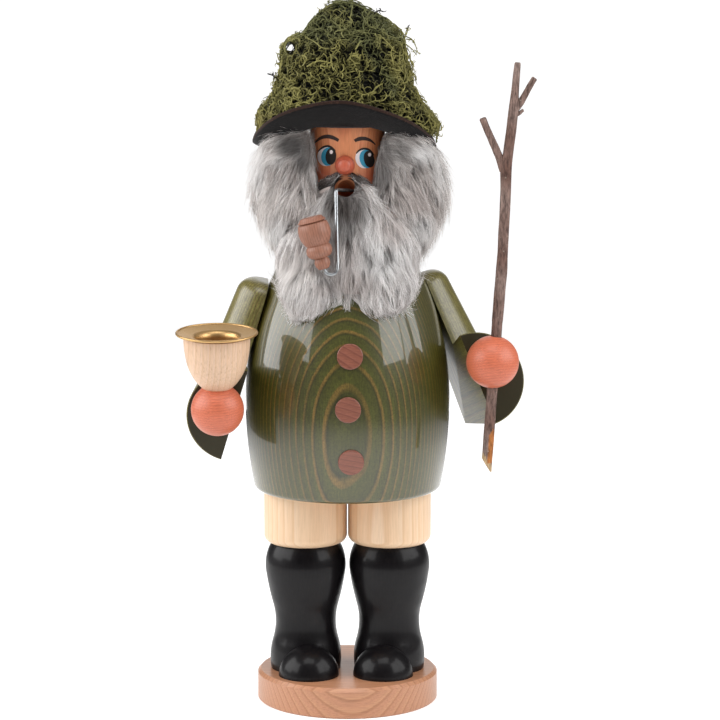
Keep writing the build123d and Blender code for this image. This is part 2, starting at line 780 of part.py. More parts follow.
def build():
    """Every piece under its name."""
    pieces = {
        "base_disc": base_disc(),
        "right_boot": boot(-1, right_toe_angle),
        "left_boot": boot(1, left_toe_angle),
        "right_toe_cap": toe_cap(-1, right_toe_angle),
        "left_toe_cap": toe_cap(1, left_toe_angle),
        "right_thigh": thigh(-1),
        "left_thigh": thigh(1),
        "leg_dowels": leg_dowels(),
        "hip_plug": hip_plug(),
        "incense_plate": incense_plate(),
        "plate_tack": plate_tack(),
        "jacket": jacket(),
        "right_upper_arm": upper_arm(right_arm),
        "right_forearm": forearm(right_arm),
        "left_upper_arm": upper_arm(left_arm),
        "left_forearm": forearm(left_arm),
        "shoulder_dowels": shoulder_dowels(),
        "right_hand": hand(right_arm),
        "left_hand": hand(left_arm),
        "hand_pegs": hand_pegs(),
        "candle_cup": candle_cup(),
        "candle_socket": candle_socket(),
        "staff": staff(),
        "head": head(),
        "nose": nose(),
        "pipe_wire": pipe_wire(),
        "pipe_bowl": pipe_bowl(),
        "felt_hat": felt_hat(),
        "hat_moss": hat_moss(),
        "right_side_hair": fur(right_hair_shares),
        "left_side_hair": fur(left_hair_shares),
        "back_hair": fur(back_hair_shares, [right_hair_shares, left_hair_shares]),
        "moustache": fur(moustache_shares, [right_hair_shares, left_hair_shares]),
        "beard": fur(beard_shares, [right_hair_shares, left_hair_shares, moustache_shares]),
    }
    for index, name in enumerate(button_names):
        pieces[name] = button_plug(index)
    return pieces


def export(pieces):
    os.makedirs("parts", exist_ok=True)
    for name, piece in pieces.items():
        solids = [s for p in (piece if isinstance(piece, list) else [piece]) for s in p.solids()]
        export_step(solids[0] if len(solids) == 1 else Compound(solids), f"parts/{name}.step")


export(build())
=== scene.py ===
# Dress for a turned wooden incense smoker: a bearded woodsman with a moss hat, a pipe, a candle cup and a staff.
# Sizes are in millimetres and times MM in metres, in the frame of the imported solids: Z up, the face towards -Y.
import math

import bpy
import numpy as np
from mathutils import Euler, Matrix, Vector
from mathutils.bvhtree import BVHTree


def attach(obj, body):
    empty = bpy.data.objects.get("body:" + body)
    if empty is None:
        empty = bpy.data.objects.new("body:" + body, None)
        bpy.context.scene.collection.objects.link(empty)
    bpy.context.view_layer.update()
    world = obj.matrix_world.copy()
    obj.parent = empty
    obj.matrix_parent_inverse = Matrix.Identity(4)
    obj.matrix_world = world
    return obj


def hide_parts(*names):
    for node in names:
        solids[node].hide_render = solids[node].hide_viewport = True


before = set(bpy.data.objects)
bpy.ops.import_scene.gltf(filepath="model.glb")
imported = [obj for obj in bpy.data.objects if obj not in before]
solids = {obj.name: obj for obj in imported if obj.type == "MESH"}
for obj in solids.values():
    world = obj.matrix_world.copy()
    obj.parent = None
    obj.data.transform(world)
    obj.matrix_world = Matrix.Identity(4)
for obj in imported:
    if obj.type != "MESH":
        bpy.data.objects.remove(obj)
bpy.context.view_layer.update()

MM = 0.001

# Where the photograph was taken from
EYE = Vector((0, -1200, 325)) * MM
PITCH = math.radians(8.3)
FOCAL_PX, FRAME_PX = 2830, 720
CENTRE_PX = (347.5, 355)


# Helpers

def linear(colour):
    """An sRGB hex value as linear red, green, blue and alpha."""
    parts = [int(colour[i : i + 2], 16) / 255 for i in (1, 3, 5)]
    return [c / 12.92 if c <= 0.04045 else ((c + 0.055) / 1.055) ** 2.4 for c in parts] + [1.0]


def add(material, kind, links=None, stops=None, **settings):
    """Adds a node with its settings, its ramp's stops and its inputs: values or other nodes' sockets."""
    node = material.node_tree.nodes.new("ShaderNode" + kind)
    for key, value in settings.items():
        setattr(node, key, value)
    if stops:
        ramp = node.color_ramp.elements
        while len(ramp) < len(stops):
            ramp.new(1.0)
        for element, (position, colour) in zip(ramp, stops):
            element.position = position
            element.color = linear(colour)
    for key, value in (links or {}).items():
        if isinstance(value, bpy.types.NodeSocket):
            material.node_tree.links.new(value, node.inputs[key])
        else:
            node.inputs[key].default_value = value
    return node


def blank_material(name):
    material = bpy.data.materials.new(name)
    material.use_nodes = True
    material.node_tree.nodes.clear()
    return material


def surface(material, **inputs):
    """The material's shader and output; names are the shader's own, with _ for a space."""
    shader = add(material, "BsdfPrincipled", {key.replace("_", " "): value for key, value in inputs.items()})
    add(material, "OutputMaterial", {"Surface": shader.outputs[0]})
    return material


def strands(name, rough, shine):
    """A finish that takes its colour from each strand."""
    m = blank_material(name)
    tone = add(m, "Attribute", attribute_name="Tone").outputs["Color"]
    return surface(m, Base_Color=tone, Roughness=rough, Specular_IOR_Level=shine)


def tones(*codes):
    return [np.array(linear(code)[:3]) for code in codes]


def dress(node, material):
    mesh = solids[node].data
    mesh.materials.clear()
    mesh.materials.append(material)


def placed(name, data):
    """A new object in the scene."""
    thing = bpy.data.objects.new(name, data)
    bpy.context.scene.collection.objects.link(thing)
    return thing


def new_piece(name, vertices, faces, material, body):
    """A smooth piece from points in millimetres that rides on a body."""
    mesh = bpy.data.meshes.new(name)
    mesh.from_pydata((np.asarray(vertices) * MM).tolist(), [], [list(map(int, f)) for f in faces])
    mesh.materials.append(material)
    mesh.shade_smooth()
    piece = placed(name, mesh)
    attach(piece, body)
    return piece


def rows_of_quads(rows, around, first=0):
    """The faces between rings of corners that are numbered ring by ring."""
    starts = range(first, first + (rows - 1) * around, around)
    return [(a + i, a + around + i, a + around + (i + 1) % around, a + (i + 1) % around)
            for a in starts for i in range(around)]


def shell(node):
    """A solid's corners in millimetres, their normals and its triangles."""
    mesh = solids[node].data
    mesh.calc_loop_triangles()
    corners = np.array([v.co for v in mesh.vertices]) / MM
    normals = np.array([v.normal for v in mesh.vertices])
    return corners, normals, np.array([t.vertices for t in mesh.loop_triangles])


def tree_of(*names):
    """One search tree over several solids, in millimetres."""
    points, faces = [], []
    for name in names:
        mesh = solids[name].data
        mesh.calc_loop_triangles()
        base = len(points)
        points += [Vector(v.co) / MM for v in mesh.vertices]
        faces += [[base + i for i in t.vertices] for t in mesh.loop_triangles]
    return BVHTree.FromPolygons(points, faces)


# Wood

def wood(name, tones, ring, heart, origin=(0, 0, 0), along=(0, 0, 1), sway=2.0, fibre=0.35, fibre_width=0.45,
         flecks=None, blotch=None, line=None, fading=0.0, speckle=0.0, end=None, rough=0.45, lacquer=0.3,
         lacquer_rough=0.3, relief=0.12, specular=0.5):
    """Wood cut from a trunk: growth rings round the heart, fibres along the grain, flecks and uneven stain.

    The tones are those of early, middle and late wood, and all lengths are in millimetres.
    """
    early, middle, late = tones
    m = blank_material(name)
    turn = Vector((0, 0, 1)).rotation_difference(Vector(along).normalized()).to_euler()
    spot = add(m, "TexCoord").outputs["Object"]
    tree_frame = {"Vector": spot, "Location": [c * MM for c in origin], "Rotation": turn, "Scale": (MM, MM, MM)}
    grain = add(m, "Mapping", tree_frame, vector_type="TEXTURE").outputs[0]
    calm = add(m, "VectorMath", {0: grain, 1: (1, 1, 0.22)}, operation="MULTIPLY").outputs[0]
    drift = add(m, "TexNoise", {"Vector": calm, "Scale": 1 / 28, "Detail": 2.0}).outputs["Color"]
    off_centre = (-heart[0] - sway / 2, -heart[1] - sway / 2, 0)
    swayed = {0: drift, 1: (sway, sway, 0), 2: off_centre}
    shift = add(m, "VectorMath", swayed, operation="MULTIPLY_ADD").outputs[0]
    from_heart = add(m, "VectorMath", {0: grain, 1: shift}, operation="ADD").outputs[0]
    flat = add(m, "VectorMath", {0: from_heart, 1: (1 / ring, 1 / ring, 0)}, operation="MULTIPLY").outputs[0]
    years = add(m, "VectorMath", {0: flat}, operation="LENGTH").outputs["Value"]
    # Rings differ in width, so the count of years is bent a little by a slow noise along the radius
    uneven = add(m, "TexNoise", {"Vector": calm, "Scale": 1 / 60, "Detail": 1.0}).outputs["Fac"]
    years = add(m, "Math", {0: uneven, 1: 1.6, 2: years}, operation="MULTIPLY_ADD").outputs[0]
    year = add(m, "Math", {0: years}, operation="FRACT").outputs[0]
    rings = [(0.0, early), (0.4, middle), (0.55, middle), (0.67, line or middle), (0.82, late), (0.92, late),
             (1.0, early)]
    tone = add(m, "ValToRGB", {"Fac": year}, stops=rings).outputs["Color"]
    if fading:
        # The stain takes unevenly, so a ring shows in one place and fades in another
        patch = add(m, "TexNoise", {"Vector": calm, "Scale": 1 / 9, "Detail": 2.0, "Roughness": 0.6}).outputs["Fac"]
        levels = {"Value": patch, "From Min": 0.38, "From Max": 0.66, "To Min": 0.0, "To Max": fading}
        faint = add(m, "MapRange", levels).outputs[0]
        tone = add(m, "MixRGB", {"Fac": faint, "Color1": tone, "Color2": linear(middle)}).outputs[0]
    if speckle:
        grit = add(m, "TexNoise", {"Vector": grain, "Scale": 1 / 0.8, "Detail": 3.0, "Roughness": 0.7}).outputs["Fac"]
        dots = add(m, "ValToRGB", {"Fac": grit}, stops=[(0.38, "#8b9168"), (0.6, "#ffffff")]).outputs["Color"]
        tone = add(m, "MixRGB", {"Fac": speckle, "Color1": tone, "Color2": dots}, blend_type="MULTIPLY").outputs[0]
    thread = add(m, "VectorMath", {0: grain, 1: (1, 1, 0.045)}, operation="MULTIPLY").outputs[0]
    fine = {"Vector": thread, "Scale": 1 / fibre_width, "Detail": 4.0, "Roughness": 0.7}
    fibres = add(m, "TexNoise", fine).outputs["Fac"]
    threads = [(0.3, "#6e6560"), (0.52, "#d9d6d4"), (0.7, "#ffffff")]
    shade = add(m, "ValToRGB", {"Fac": fibres}, stops=threads).outputs["Color"]
    tone = add(m, "MixRGB", {"Fac": fibre, "Color1": tone, "Color2": shade}, blend_type="MULTIPLY").outputs[0]
    if flecks:
        dash = add(m, "VectorMath", {0: grain, 1: (1, 1, 0.16)}, operation="MULTIPLY").outputs[0]
        rays = add(m, "TexVoronoi", {"Vector": dash, "Scale": 0.95, "Randomness": 1.0}).outputs["Distance"]
        mask = add(m, "ValToRGB", {"Fac": rays}, stops=[(0.08, "#b8b8b8"), (0.2, "#000000")]).outputs["Color"]
        tone = add(m, "MixRGB", {"Fac": mask, "Color1": tone, "Color2": linear(flecks)}).outputs[0]
    if blotch:
        cloud = add(m, "TexNoise", {"Vector": calm, "Scale": 1 / 22, "Detail": 3.0, "Roughness": 0.6}).outputs["Fac"]
        cover = add(m, "ValToRGB", {"Fac": cloud}, stops=[(0.38, "#000000"), (0.72, "#a8a8a8")]).outputs["Color"]
        tone = add(m, "MixRGB", {"Fac": cover, "Color1": tone, "Color2": linear(blotch)}).outputs[0]
    if end:
        # End grain drinks the stain and the lacquer, so it is dark and dull
        cut, facing = end
        normal = add(m, "TexCoord").outputs["Normal"]
        straight = add(m, "VectorMath", {0: normal, 1: facing}, operation="DOT_PRODUCT").outputs["Value"]
        soaked = add(m, "MapRange", {"Value": straight, "From Min": 0.9, "From Max": 0.95}).outputs[0]
        tone = add(m, "MixRGB", {"Fac": soaked, "Color1": tone, "Color2": linear(cut)}).outputs[0]
        levels = {"Value": straight, "From Min": 0.9, "From Max": 0.95, "To Min": lacquer, "To Max": 0.1}
        lacquer = add(m, "MapRange", levels).outputs[0]
    height = add(m, "Math", {0: fibres, 1: 0.6, 2: year}, operation="MULTIPLY_ADD").outputs[0]
    bump = add(m, "Bump", {"Height": height, "Strength": relief, "Distance": 0.15 * MM}).outputs[0]
    return surface(m, Base_Color=tone, Roughness=rough, Normal=bump, Coat_Weight=lacquer,
                   Coat_Roughness=lacquer_rough, IOR=1.5, Specular_IOR_Level=specular)


# Olive stain under gloss lacquer on flat-sawn wood: the late wood takes less green, so the rings show as gold ovals
GREEN_STAIN = dict(tones=("#5a5c1e", "#50501a", "#8d6e30"), line="#3a3a12", fibre=0.6, fibre_width=0.5,
                   blotch="#34360c", fading=0.55, speckle=0.5, rough=0.4, lacquer=1.0, lacquer_rough=0.05,
                   relief=0.08)
# The same stain on the arms, in lighter tones that are painted light, with a duller lacquer that shows the lamps as
# broad pale bands
ARM_WITH_PAINTED_LIGHT = dict(GREEN_STAIN, tones=("#a39b5a", "#8f8743", "#9a8148"), line="#4f4c1e", ring=1.3, sway=1.8,
           lacquer=0.8, lacquer_rough=0.24, fibre=0.85)
# Coral stain on maple: close fibres, a soft lacquer, and the grain lying across
CORAL = dict(tones=("#db7752", "#d6704f", "#cc6546"), ring=1.1, fibre=0.5, fibre_width=0.3, rough=0.5)
# Steamed beech, clear lacquered: pale, with short dark rays
CUP_BEECH = dict(tones=("#e0bfa3", "#dfbc9d", "#d8b392"), ring=2.4, flecks="#9c6c4c", fibre=0.3, rough=0.5,
                 lacquer=0.25)
BASE_BEECH = dict(tones=("#c28c67", "#bc8462", "#ae7754"), ring=2.2, sway=2.5, flecks="#9a6744", lacquer=0.35,
                  lacquer_rough=0.22)
# Clear lacquered limewood: almost white, even, with faint standing grain
LIME = dict(tones=("#eccdac", "#eac7a2", "#e2bc95"), ring=2.6, fibre=0.18, lacquer_rough=0.25)
RAW_LIME = dict(LIME, lacquer=0.0, rough=0.65)
# Reddish brown stain: the buttons and the pipe's bowl
BROWN = dict(tones=("#8f5543", "#8a503d", "#7b4535"), ring=1.0, sway=1.5, fibre=0.45, lacquer=0.45, lacquer_rough=0.2)
BOWL_BROWN = dict(BROWN, tones=("#a4725e", "#9c6a54", "#8a5843"), lacquer=0.15, rough=0.55)

RIGHT_AHEAD, LEFT_AHEAD = (0.045, -0.995, -0.084), (0.167, -0.953, 0.253)
RIGHT_ELBOW = dict(heart=(-46, 30), origin=(-47.8, 0.1, 135.2))
LEFT_ELBOW = dict(heart=(46, 30), origin=(47.9, 7.1, 137.9))
# The forearms keep the arms' lighter tones, which are painted light
FOREARM = dict(ARM_WITH_PAINTED_LIGHT, lacquer=0.3, specular=0.25)
for nodes, name, finish in (
        ("jacket", "olive stained jacket wood",
         dict(GREEN_STAIN, ring=1.9, sway=2.2, heart=(1.5, -300), origin=(0, 0, 113), along=(0.02, -0.055, 1))),
        ("right_upper_arm", "olive stained right upper_arm", dict(ARM_WITH_PAINTED_LIGHT, along=(0.288, -0.067, 0.955), **RIGHT_ELBOW)),
        ("right_forearm", "olive stained right forearm",
         dict(FOREARM, along=RIGHT_AHEAD, end=("#2d2815", RIGHT_AHEAD), **RIGHT_ELBOW)),
        ("left_upper_arm", "olive stained left upper_arm", dict(ARM_WITH_PAINTED_LIGHT, along=(-0.366, 0.179, 0.913), **LEFT_ELBOW)),
        ("left_forearm", "olive stained left forearm",
         dict(FOREARM, along=LEFT_AHEAD, end=("#2d2815", LEFT_AHEAD), **LEFT_ELBOW)),
        ("right_hand", "coral stained right hand",
         dict(CORAL, heart=(80, 9), origin=(-53.8, -43.9, 133.5), along=(1, 0.1, 0.06))),
        ("left_hand", "coral stained left hand",
         dict(CORAL, heart=(-80, 12), origin=(60.5, -32.7, 151.8), along=(1, -0.1, 0.12))),
        ("candle_cup", "clear lacquered beech cup",
         dict(CUP_BEECH, heart=(90, 12), origin=(-53.8, -44.7, 142.7), along=(0, -0.087, 0.996))),
        ("base_disc", "clear lacquered beech base", dict(BASE_BEECH, heart=(30, 60), along=(1, 0.06, 0))),
        ("right_thigh", "clear lacquered right thigh", dict(LIME, heart=(-36, 60))),
        ("left_thigh", "clear lacquered left thigh", dict(LIME, heart=(40, 70))),
        ("hip_plug leg_dowels shoulder_dowels hand_pegs", "raw limewood", dict(RAW_LIME, heart=(9, 30))),
        ("upper_button", "brown stained upper_button",
         dict(BROWN, heart=(18, 40), origin=(1, -41, 155), along=(1, 0.1, -0.2))),
        ("middle_button", "brown stained middle_button",
         dict(BROWN, heart=(14, 40), origin=(0, -43, 133), along=(1, 0.1, -0.08))),
        ("lower_button", "brown stained lower_button",
         dict(BROWN, heart=(10, 40), origin=(1, -42, 111), along=(1, 0.1, 0.04))),
        ("pipe_bowl", "brown stained pipe bowl",
         dict(BOWL_BROWN, heart=(-60, 4), origin=(-14, -38, 200), along=(-0.25, 0, 0.97)))):
    finish = wood(name, **finish)
    for node in nodes.split():
        dress(node, finish)


def skin(name, tones, rouge=None):
    """Skin stain on limewood: light orange brown, with standing grain, rouge on the cheeks and a soft lacquer."""
    m = wood(name, tones, ring=1.6, heart=(7, 60), origin=(0, 0, 230), fibre=0.28)
    if rouge:
        shader = next(n for n in m.node_tree.nodes if n.type == "BSDF_PRINCIPLED")
        tone = shader.inputs["Base Color"].links[0].from_socket
        spot = add(m, "TexCoord").outputs["Object"]
        for cheek in ((-10.5, -11.5, 226.5), (10.5, -11.5, 226)):
            middle = [c * MM for c in cheek]
            apart = add(m, "VectorMath", {0: spot, 1: middle}, operation="DISTANCE").outputs["Value"]
            levels = {"Value": apart, "From Min": 2 * MM, "From Max": 8.5 * MM, "To Min": 0.5, "To Max": 0.0}
            fade = add(m, "MapRange", levels, interpolation_type="SMOOTHSTEP").outputs[0]
            tone = add(m, "MixRGB", {"Fac": fade, "Color1": tone, "Color2": linear(rouge)}).outputs[0]
        m.node_tree.links.new(tone, shader.inputs["Base Color"])
    return m


# The head's tones are lighter than its stain: painted light that stands in for a fill under the brim
dress("head", skin("skin stained head with painted light", ("#ef9c6c", "#ea9463", "#dc8255"), rouge="#d8503a"))
dress("nose", skin("red stained nose", ("#cf684b", "#ca6145", "#bc5238")))


# Lacquer and metal

def black_lacquer():
    """Black satin lacquer brushed on turned wood: the grain and the turning marks show only as a faint relief."""
    m = blank_material("black satin lacquer")
    spot = add(m, "TexCoord").outputs["Object"]
    streak = add(m, "VectorMath", {0: spot, 1: (1, 1, 0.06)}, operation="MULTIPLY").outputs[0]
    fine = {"Vector": streak, "Scale": 1 / (0.7 * MM), "Detail": 4.0, "Roughness": 0.65}
    pores = add(m, "TexNoise", fine).outputs["Fac"]
    ripple = add(m, "TexNoise", {"Vector": spot, "Scale": 1 / (6 * MM), "Detail": 2.0}).outputs["Fac"]
    height = add(m, "Math", {0: pores, 1: 0.5, 2: ripple}, operation="MULTIPLY_ADD").outputs[0]
    bump = add(m, "Bump", {"Height": height, "Strength": 0.18, "Distance": 0.2 * MM}).outputs[0]
    levels = {"Value": ripple, "From Min": 0.3, "From Max": 0.7, "To Min": 0.34, "To Max": 0.48}
    gloss = add(m, "MapRange", levels).outputs[0]
    tone = add(m, "ValToRGB", {"Fac": pores}, stops=[(0.35, "#090709"), (0.7, "#110e10")]).outputs["Color"]
    return surface(m, Base_Color=tone, Roughness=gloss, Normal=bump, Specular_IOR_Level=0.15, Coat_Weight=0.18,
                   Coat_Roughness=0.14, IOR=1.5)


def metal(name, colour, rough, streaks=0.0, direction=(1, 1, 1)):
    """Bare metal; streaks are the drawing or pressing marks along a direction, drawn coarse so that they show."""
    m = blank_material(name)
    spot = add(m, "TexCoord").outputs["Object"]
    line = add(m, "VectorMath", {0: spot, 1: direction}, operation="MULTIPLY").outputs[0]
    marks = add(m, "TexNoise", {"Vector": line, "Scale": 1 / (0.5 * MM), "Detail": 3.0}).outputs["Fac"]
    levels = {"Value": marks, "From Min": 0.3, "From Max": 0.7, "To Min": rough * 0.8, "To Max": rough * 1.25}
    gloss = add(m, "MapRange", levels).outputs[0]
    bump = add(m, "Bump", {"Height": marks, "Strength": streaks, "Distance": 0.05 * MM}).outputs[0]
    return surface(m, Base_Color=linear(colour), Metallic=1.0, Roughness=gloss, Normal=bump)


lacquer = black_lacquer()
for node in ("right_boot", "left_boot", "right_toe_cap", "left_toe_cap"):
    dress(node, lacquer)
# Drawn brass: warm and soft, with standing marks that spread the lamps
dress("candle_socket", metal("satin drawn brass", "#cda873", 0.42, streaks=0.12, direction=(1, 1, 0.1)))
# Iron wire: bright and nearly smooth
dress("pipe_wire", metal("bright drawn wire", "#adb1b4", 0.3, streaks=0.05))
# Tinplate: pale, with the marks of the press
dress("incense_plate", metal("pressed tinplate", "#b9b7b0", 0.3, streaks=0.15))
# Steel: grey and plain
dress("plate_tack", metal("plain steel tack", "#9c9b98", 0.35))


# Painted eyes and brows, placed by the pixels of the photograph

def sight(u, v):
    """The ray through a pixel of the photograph, in millimetres."""
    ahead = Vector((0, math.cos(PITCH), -math.sin(PITCH)))
    above = Vector((0, math.sin(PITCH), math.cos(PITCH)))
    way = Vector((1, 0, 0)) * ((u - CENTRE_PX[0]) / FOCAL_PX) - above * ((v - CENTRE_PX[1]) / FOCAL_PX) + ahead
    return EYE / MM, way.normalized()


face = tree_of("head")


def on_face(u, v, lift):
    spot, normal, _, _ = face.ray_cast(*sight(u, v))
    return spot + normal * lift


def enamel(name, colour, rough=0.3):
    """Enamel paint laid on with a brush: even colour with slight strokes."""
    m = blank_material(name)
    spot = add(m, "TexCoord").outputs["Object"]
    strokes = add(m, "TexNoise", {"Vector": spot, "Scale": 1 / (0.6 * MM), "Detail": 2.0}).outputs["Fac"]
    bump = add(m, "Bump", {"Height": strokes, "Strength": 0.1, "Distance": 0.05 * MM}).outputs[0]
    return surface(m, Base_Color=linear(colour), Roughness=rough, Normal=bump, IOR=1.5)


def painted_oval(name, centre, size, tilt, paint, lift):
    """An oval of paint on the face; centre and size in pixels, tilt in degrees."""
    rings, steps = 6, 40
    c, s = math.cos(math.radians(tilt)), math.sin(math.radians(tilt))
    points = [on_face(*centre, lift)]
    for ring in range(1, rings + 1):
        for step in range(steps):
            a = 2 * math.pi * step / steps
            x, y = size[0] / 2 * math.cos(a) * ring / rings, size[1] / 2 * math.sin(a) * ring / rings
            points.append(on_face(centre[0] + c * x - s * y, centre[1] + s * x + c * y, lift))
    faces = [(0, 1 + i, 1 + (i + 1) % steps) for i in range(steps)]
    new_piece(name, points, faces + rows_of_quads(rings, steps, 1), paint, "figure")


def brush_stroke(name, path, widths, paint, lift):
    """A stroke of paint on a smooth curve near some pixels, swelling and thinning with its widths."""
    path = np.array(path, float)
    count, lanes = 24, 5
    at = np.linspace(0, len(path) - 1, count)
    fit = [np.polyfit(np.arange(len(path)), path[:, i], min(len(path) - 1, 3)) for i in (0, 1)]
    line = np.stack([np.polyval(f, at) for f in fit], 1)
    width = np.interp(at, np.linspace(0, len(path) - 1, len(widths)), widths)
    along = np.gradient(line, axis=0)
    side = np.stack([-along[:, 1], along[:, 0]], 1) / np.linalg.norm(along, axis=1)[:, None]
    points, faces = [], []
    across = np.linspace(-0.5, 0.5, lanes)
    for middle, way, breadth in zip(line, side, width):
        points += [on_face(*(middle + way * breadth * a), lift) for a in across]
    for corner in (i * lanes + j for i in range(count - 1) for j in range(lanes - 1)):
        faces.append((corner, corner + lanes, corner + lanes + 1, corner + 1))
    new_piece(name, points, faces, paint, "figure")


# Enamels: a warm white, a clear blue, near black for the pupils and lids, dark brown brows, and the eyes' pale spot
eye_white = enamel("eye white enamel", "#efe3e4", 0.35)
iris_blue = enamel("iris blue enamel", "#3f9dc0")
ink_black = enamel("ink black enamel", "#26211f")
brow_brown = enamel("brow black brown enamel", "#352622", 0.4)
glint = enamel("pale glint enamel", "#fbeeee")
LID_WIDTHS = (1.0, 1.9, 2.2, 1.0)
painted_oval("right_eye_white", (326.3, 156.3), (17.6, 19.6), 8, eye_white, 0.05)
painted_oval("right_eye_blue", (328.3, 156.6), (14.0, 18.4), 6, iris_blue, 0.09)
painted_oval("right_eye_pupil", (331.0, 156.3), (10.6, 17.0), 4, ink_black, 0.13)
painted_oval("right_eye_glint", (331.4, 152.0), (3.2, 4.0), 0, glint, 0.17)
brush_stroke("right_upper_lid", [(318.4, 151.5), (323, 147.4), (329, 146.3), (335.4, 151.0)], LID_WIDTHS,
             ink_black, 0.15)
painted_oval("left_eye_white", (364.0, 158.5), (17.2, 19.8), -14, eye_white, 0.05)
painted_oval("left_eye_blue", (366.6, 158.9), (14.2, 18.6), -14, iris_blue, 0.09)
painted_oval("left_eye_pupil", (368.9, 159.2), (10.4, 16.8), -12, ink_black, 0.13)
painted_oval("left_eye_glint", (369.4, 154.6), (3.2, 3.8), 0, glint, 0.17)
brush_stroke("left_upper_lid", [(356.2, 153.6), (361, 149.4), (367.5, 149.2), (373.6, 155.2)], LID_WIDTHS,
             ink_black, 0.15)
brush_stroke("right_brow", [(314.6, 143.4), (321, 138.0), (329, 136.6), (338.6, 140.6)], (0.9, 2.8, 3.8, 4.0, 3.0),
             brow_brown, 0.08)
brush_stroke("left_brow", [(354.6, 141.0), (361, 138.6), (368.5, 139.6), (375.2, 144.8)], (3.0, 4.0, 3.8, 2.6, 0.9),
             brow_brown, 0.08)


# Fur

def tubes(path, widths, sides=3, taper=0.25, seed=0):
    """A mesh of thin tubes along many paths of the same number of points, and each point's share of its path."""
    rng = np.random.default_rng(seed)
    count, rows = path.shape[:2]
    tangent = np.gradient(path, axis=1)
    tangent /= np.linalg.norm(tangent, axis=2)[..., None] + 1e-9
    across = np.cross(tangent, rng.normal(size=(count, 1, 3)))
    across /= np.linalg.norm(across, axis=2)[..., None] + 1e-9
    other = np.cross(tangent, across)
    along = np.linspace(0, 1, rows)
    thin = (1 - (1 - taper) * along**1.5)[None, :] * widths[:, None] / 2
    turns = [2 * math.pi * side / sides for side in range(sides)]
    rings = [path + thin[..., None] * (math.cos(a) * across + math.sin(a) * other) for a in turns]
    points = np.stack(rings, 2).reshape(-1, 3)
    base = (np.arange(count)[:, None, None] * rows + np.arange(rows - 1)[None, :, None]) * sides
    side = np.arange(sides)[None, None, :]
    after = (side + 1) % sides
    quads = np.stack([base + side, base + after, base + sides + after, base + sides + side], 3).reshape(-1, 4)
    return points, quads, np.repeat(np.tile(along, (count, 1)).reshape(-1), sides)


def toned_piece(name, points, faces, colours, material, node, slot, body="figure"):
    """A smooth piece with a colour on each point that stands for a solid; its slot is not used."""
    mesh = bpy.data.meshes.new(name)
    corners = faces.shape[1]
    mesh.vertices.add(len(points))
    mesh.vertices.foreach_set("co", (points * MM).astype(np.float32).ravel())
    mesh.loops.add(faces.size)
    mesh.loops.foreach_set("vertex_index", faces.astype(np.int32).ravel())
    mesh.polygons.add(len(faces))
    mesh.polygons.foreach_set("loop_start", np.arange(0, faces.size, corners, dtype=np.int32))
    mesh.polygons.foreach_set("use_smooth", np.ones(len(faces), bool))
    layer = mesh.color_attributes.new("Tone", "FLOAT_COLOR", "POINT")
    layer.data.foreach_set("color", np.c_[colours, np.ones(len(colours))].astype(np.float32).ravel())
    mesh.validate()
    mesh.update()
    mesh.materials.append(material)
    piece = placed(name, mesh)
    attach(piece, body)
    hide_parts(node)


def skin_points(node, count, seed, around=(), reach=1.5):
    """Random points on the open part of a solid's surface, with their normals."""
    rng = np.random.default_rng(seed)
    corners, _, triangles = shell(node)
    a, b, c = (corners[triangles[:, i]] for i in range(3))
    normals = np.cross(b - a, c - a)
    areas = np.linalg.norm(normals, axis=1)
    normals /= areas[:, None] + 1e-12
    wall = tree_of(*around)
    points, ways, total = [], [], 0
    while total < count:
        pick = rng.choice(len(triangles), count, p=areas / areas.sum())
        u, v = rng.random((2, count))
        flip = u + v > 1
        u[flip], v[flip] = 1 - u[flip], 1 - v[flip]
        spots = a[pick] + u[:, None] * (b[pick] - a[pick]) + v[:, None] * (c[pick] - a[pick])
        free = [wall.ray_cast(Vector(p), Vector(n), reach)[0] is None for p, n in zip(spots, normals[pick])]
        points.append(spots[free])
        ways.append(normals[pick][free])
        total += sum(free)
    return np.concatenate(points)[:count], np.concatenate(ways)[:count]


def nearest(tree, points):
    """The nearest surface points and normals."""
    found = [tree.find_nearest(Vector(p)) for p in points.reshape(-1, 3)]
    spots = np.array([f[0] for f in found]).reshape(points.shape)
    normals = np.array([f[1] for f in found]).reshape(points.shape)
    return spots, normals


def held(tree, points, deep, proud):
    """Points kept between two depths of a surface."""
    spots, normals = nearest(tree, points)
    height = ((points - spots) * normals).sum(-1, keepdims=True)
    return points + (np.clip(height, deep, proud) - height) * normals, normals


def slow_noise(points, size, seed):
    """Smooth random values from about -1 to 1 that change over a size in millimetres."""
    rng = np.random.default_rng(seed)
    total = np.zeros(len(points))
    for _ in range(6):
        total += np.sin(points @ (rng.normal(size=3) / size) * 1.6 + rng.random() * 7)
    return total / 3


def mix(a, b, share):
    return a + (b - a) * np.clip(share, 0, 1)[..., None]


def unit(ways):
    return ways / (np.linalg.norm(ways, axis=-1, keepdims=True) + 1e-9)


def seen_at(points):
    """Where points in millimetres appear in the photograph, in pixels."""
    ray = points - np.array(EYE) / MM
    depth = ray[..., 1] * math.cos(PITCH) - ray[..., 2] * math.sin(PITCH)
    height = ray[..., 1] * math.sin(PITCH) + ray[..., 2] * math.cos(PITCH)
    return np.stack([CENTRE_PX[0] + FOCAL_PX * ray[..., 0] / depth, CENTRE_PX[1] - FOCAL_PX * height / depth], -1)


GREIGE, WHITE, MAUVE, SLATE, SMOKE, CREAM = tones("#e2d8d4", "#fffefd", "#b5a8a3", "#6a6867", "#5a514c", "#f8f3ef")
HAIR_MARGIN = 0.35
HAIRS_A_PIECE, WILD_SHARE = 5500, 0.13
PIXEL = 0.42  # in millimetres, at the figure
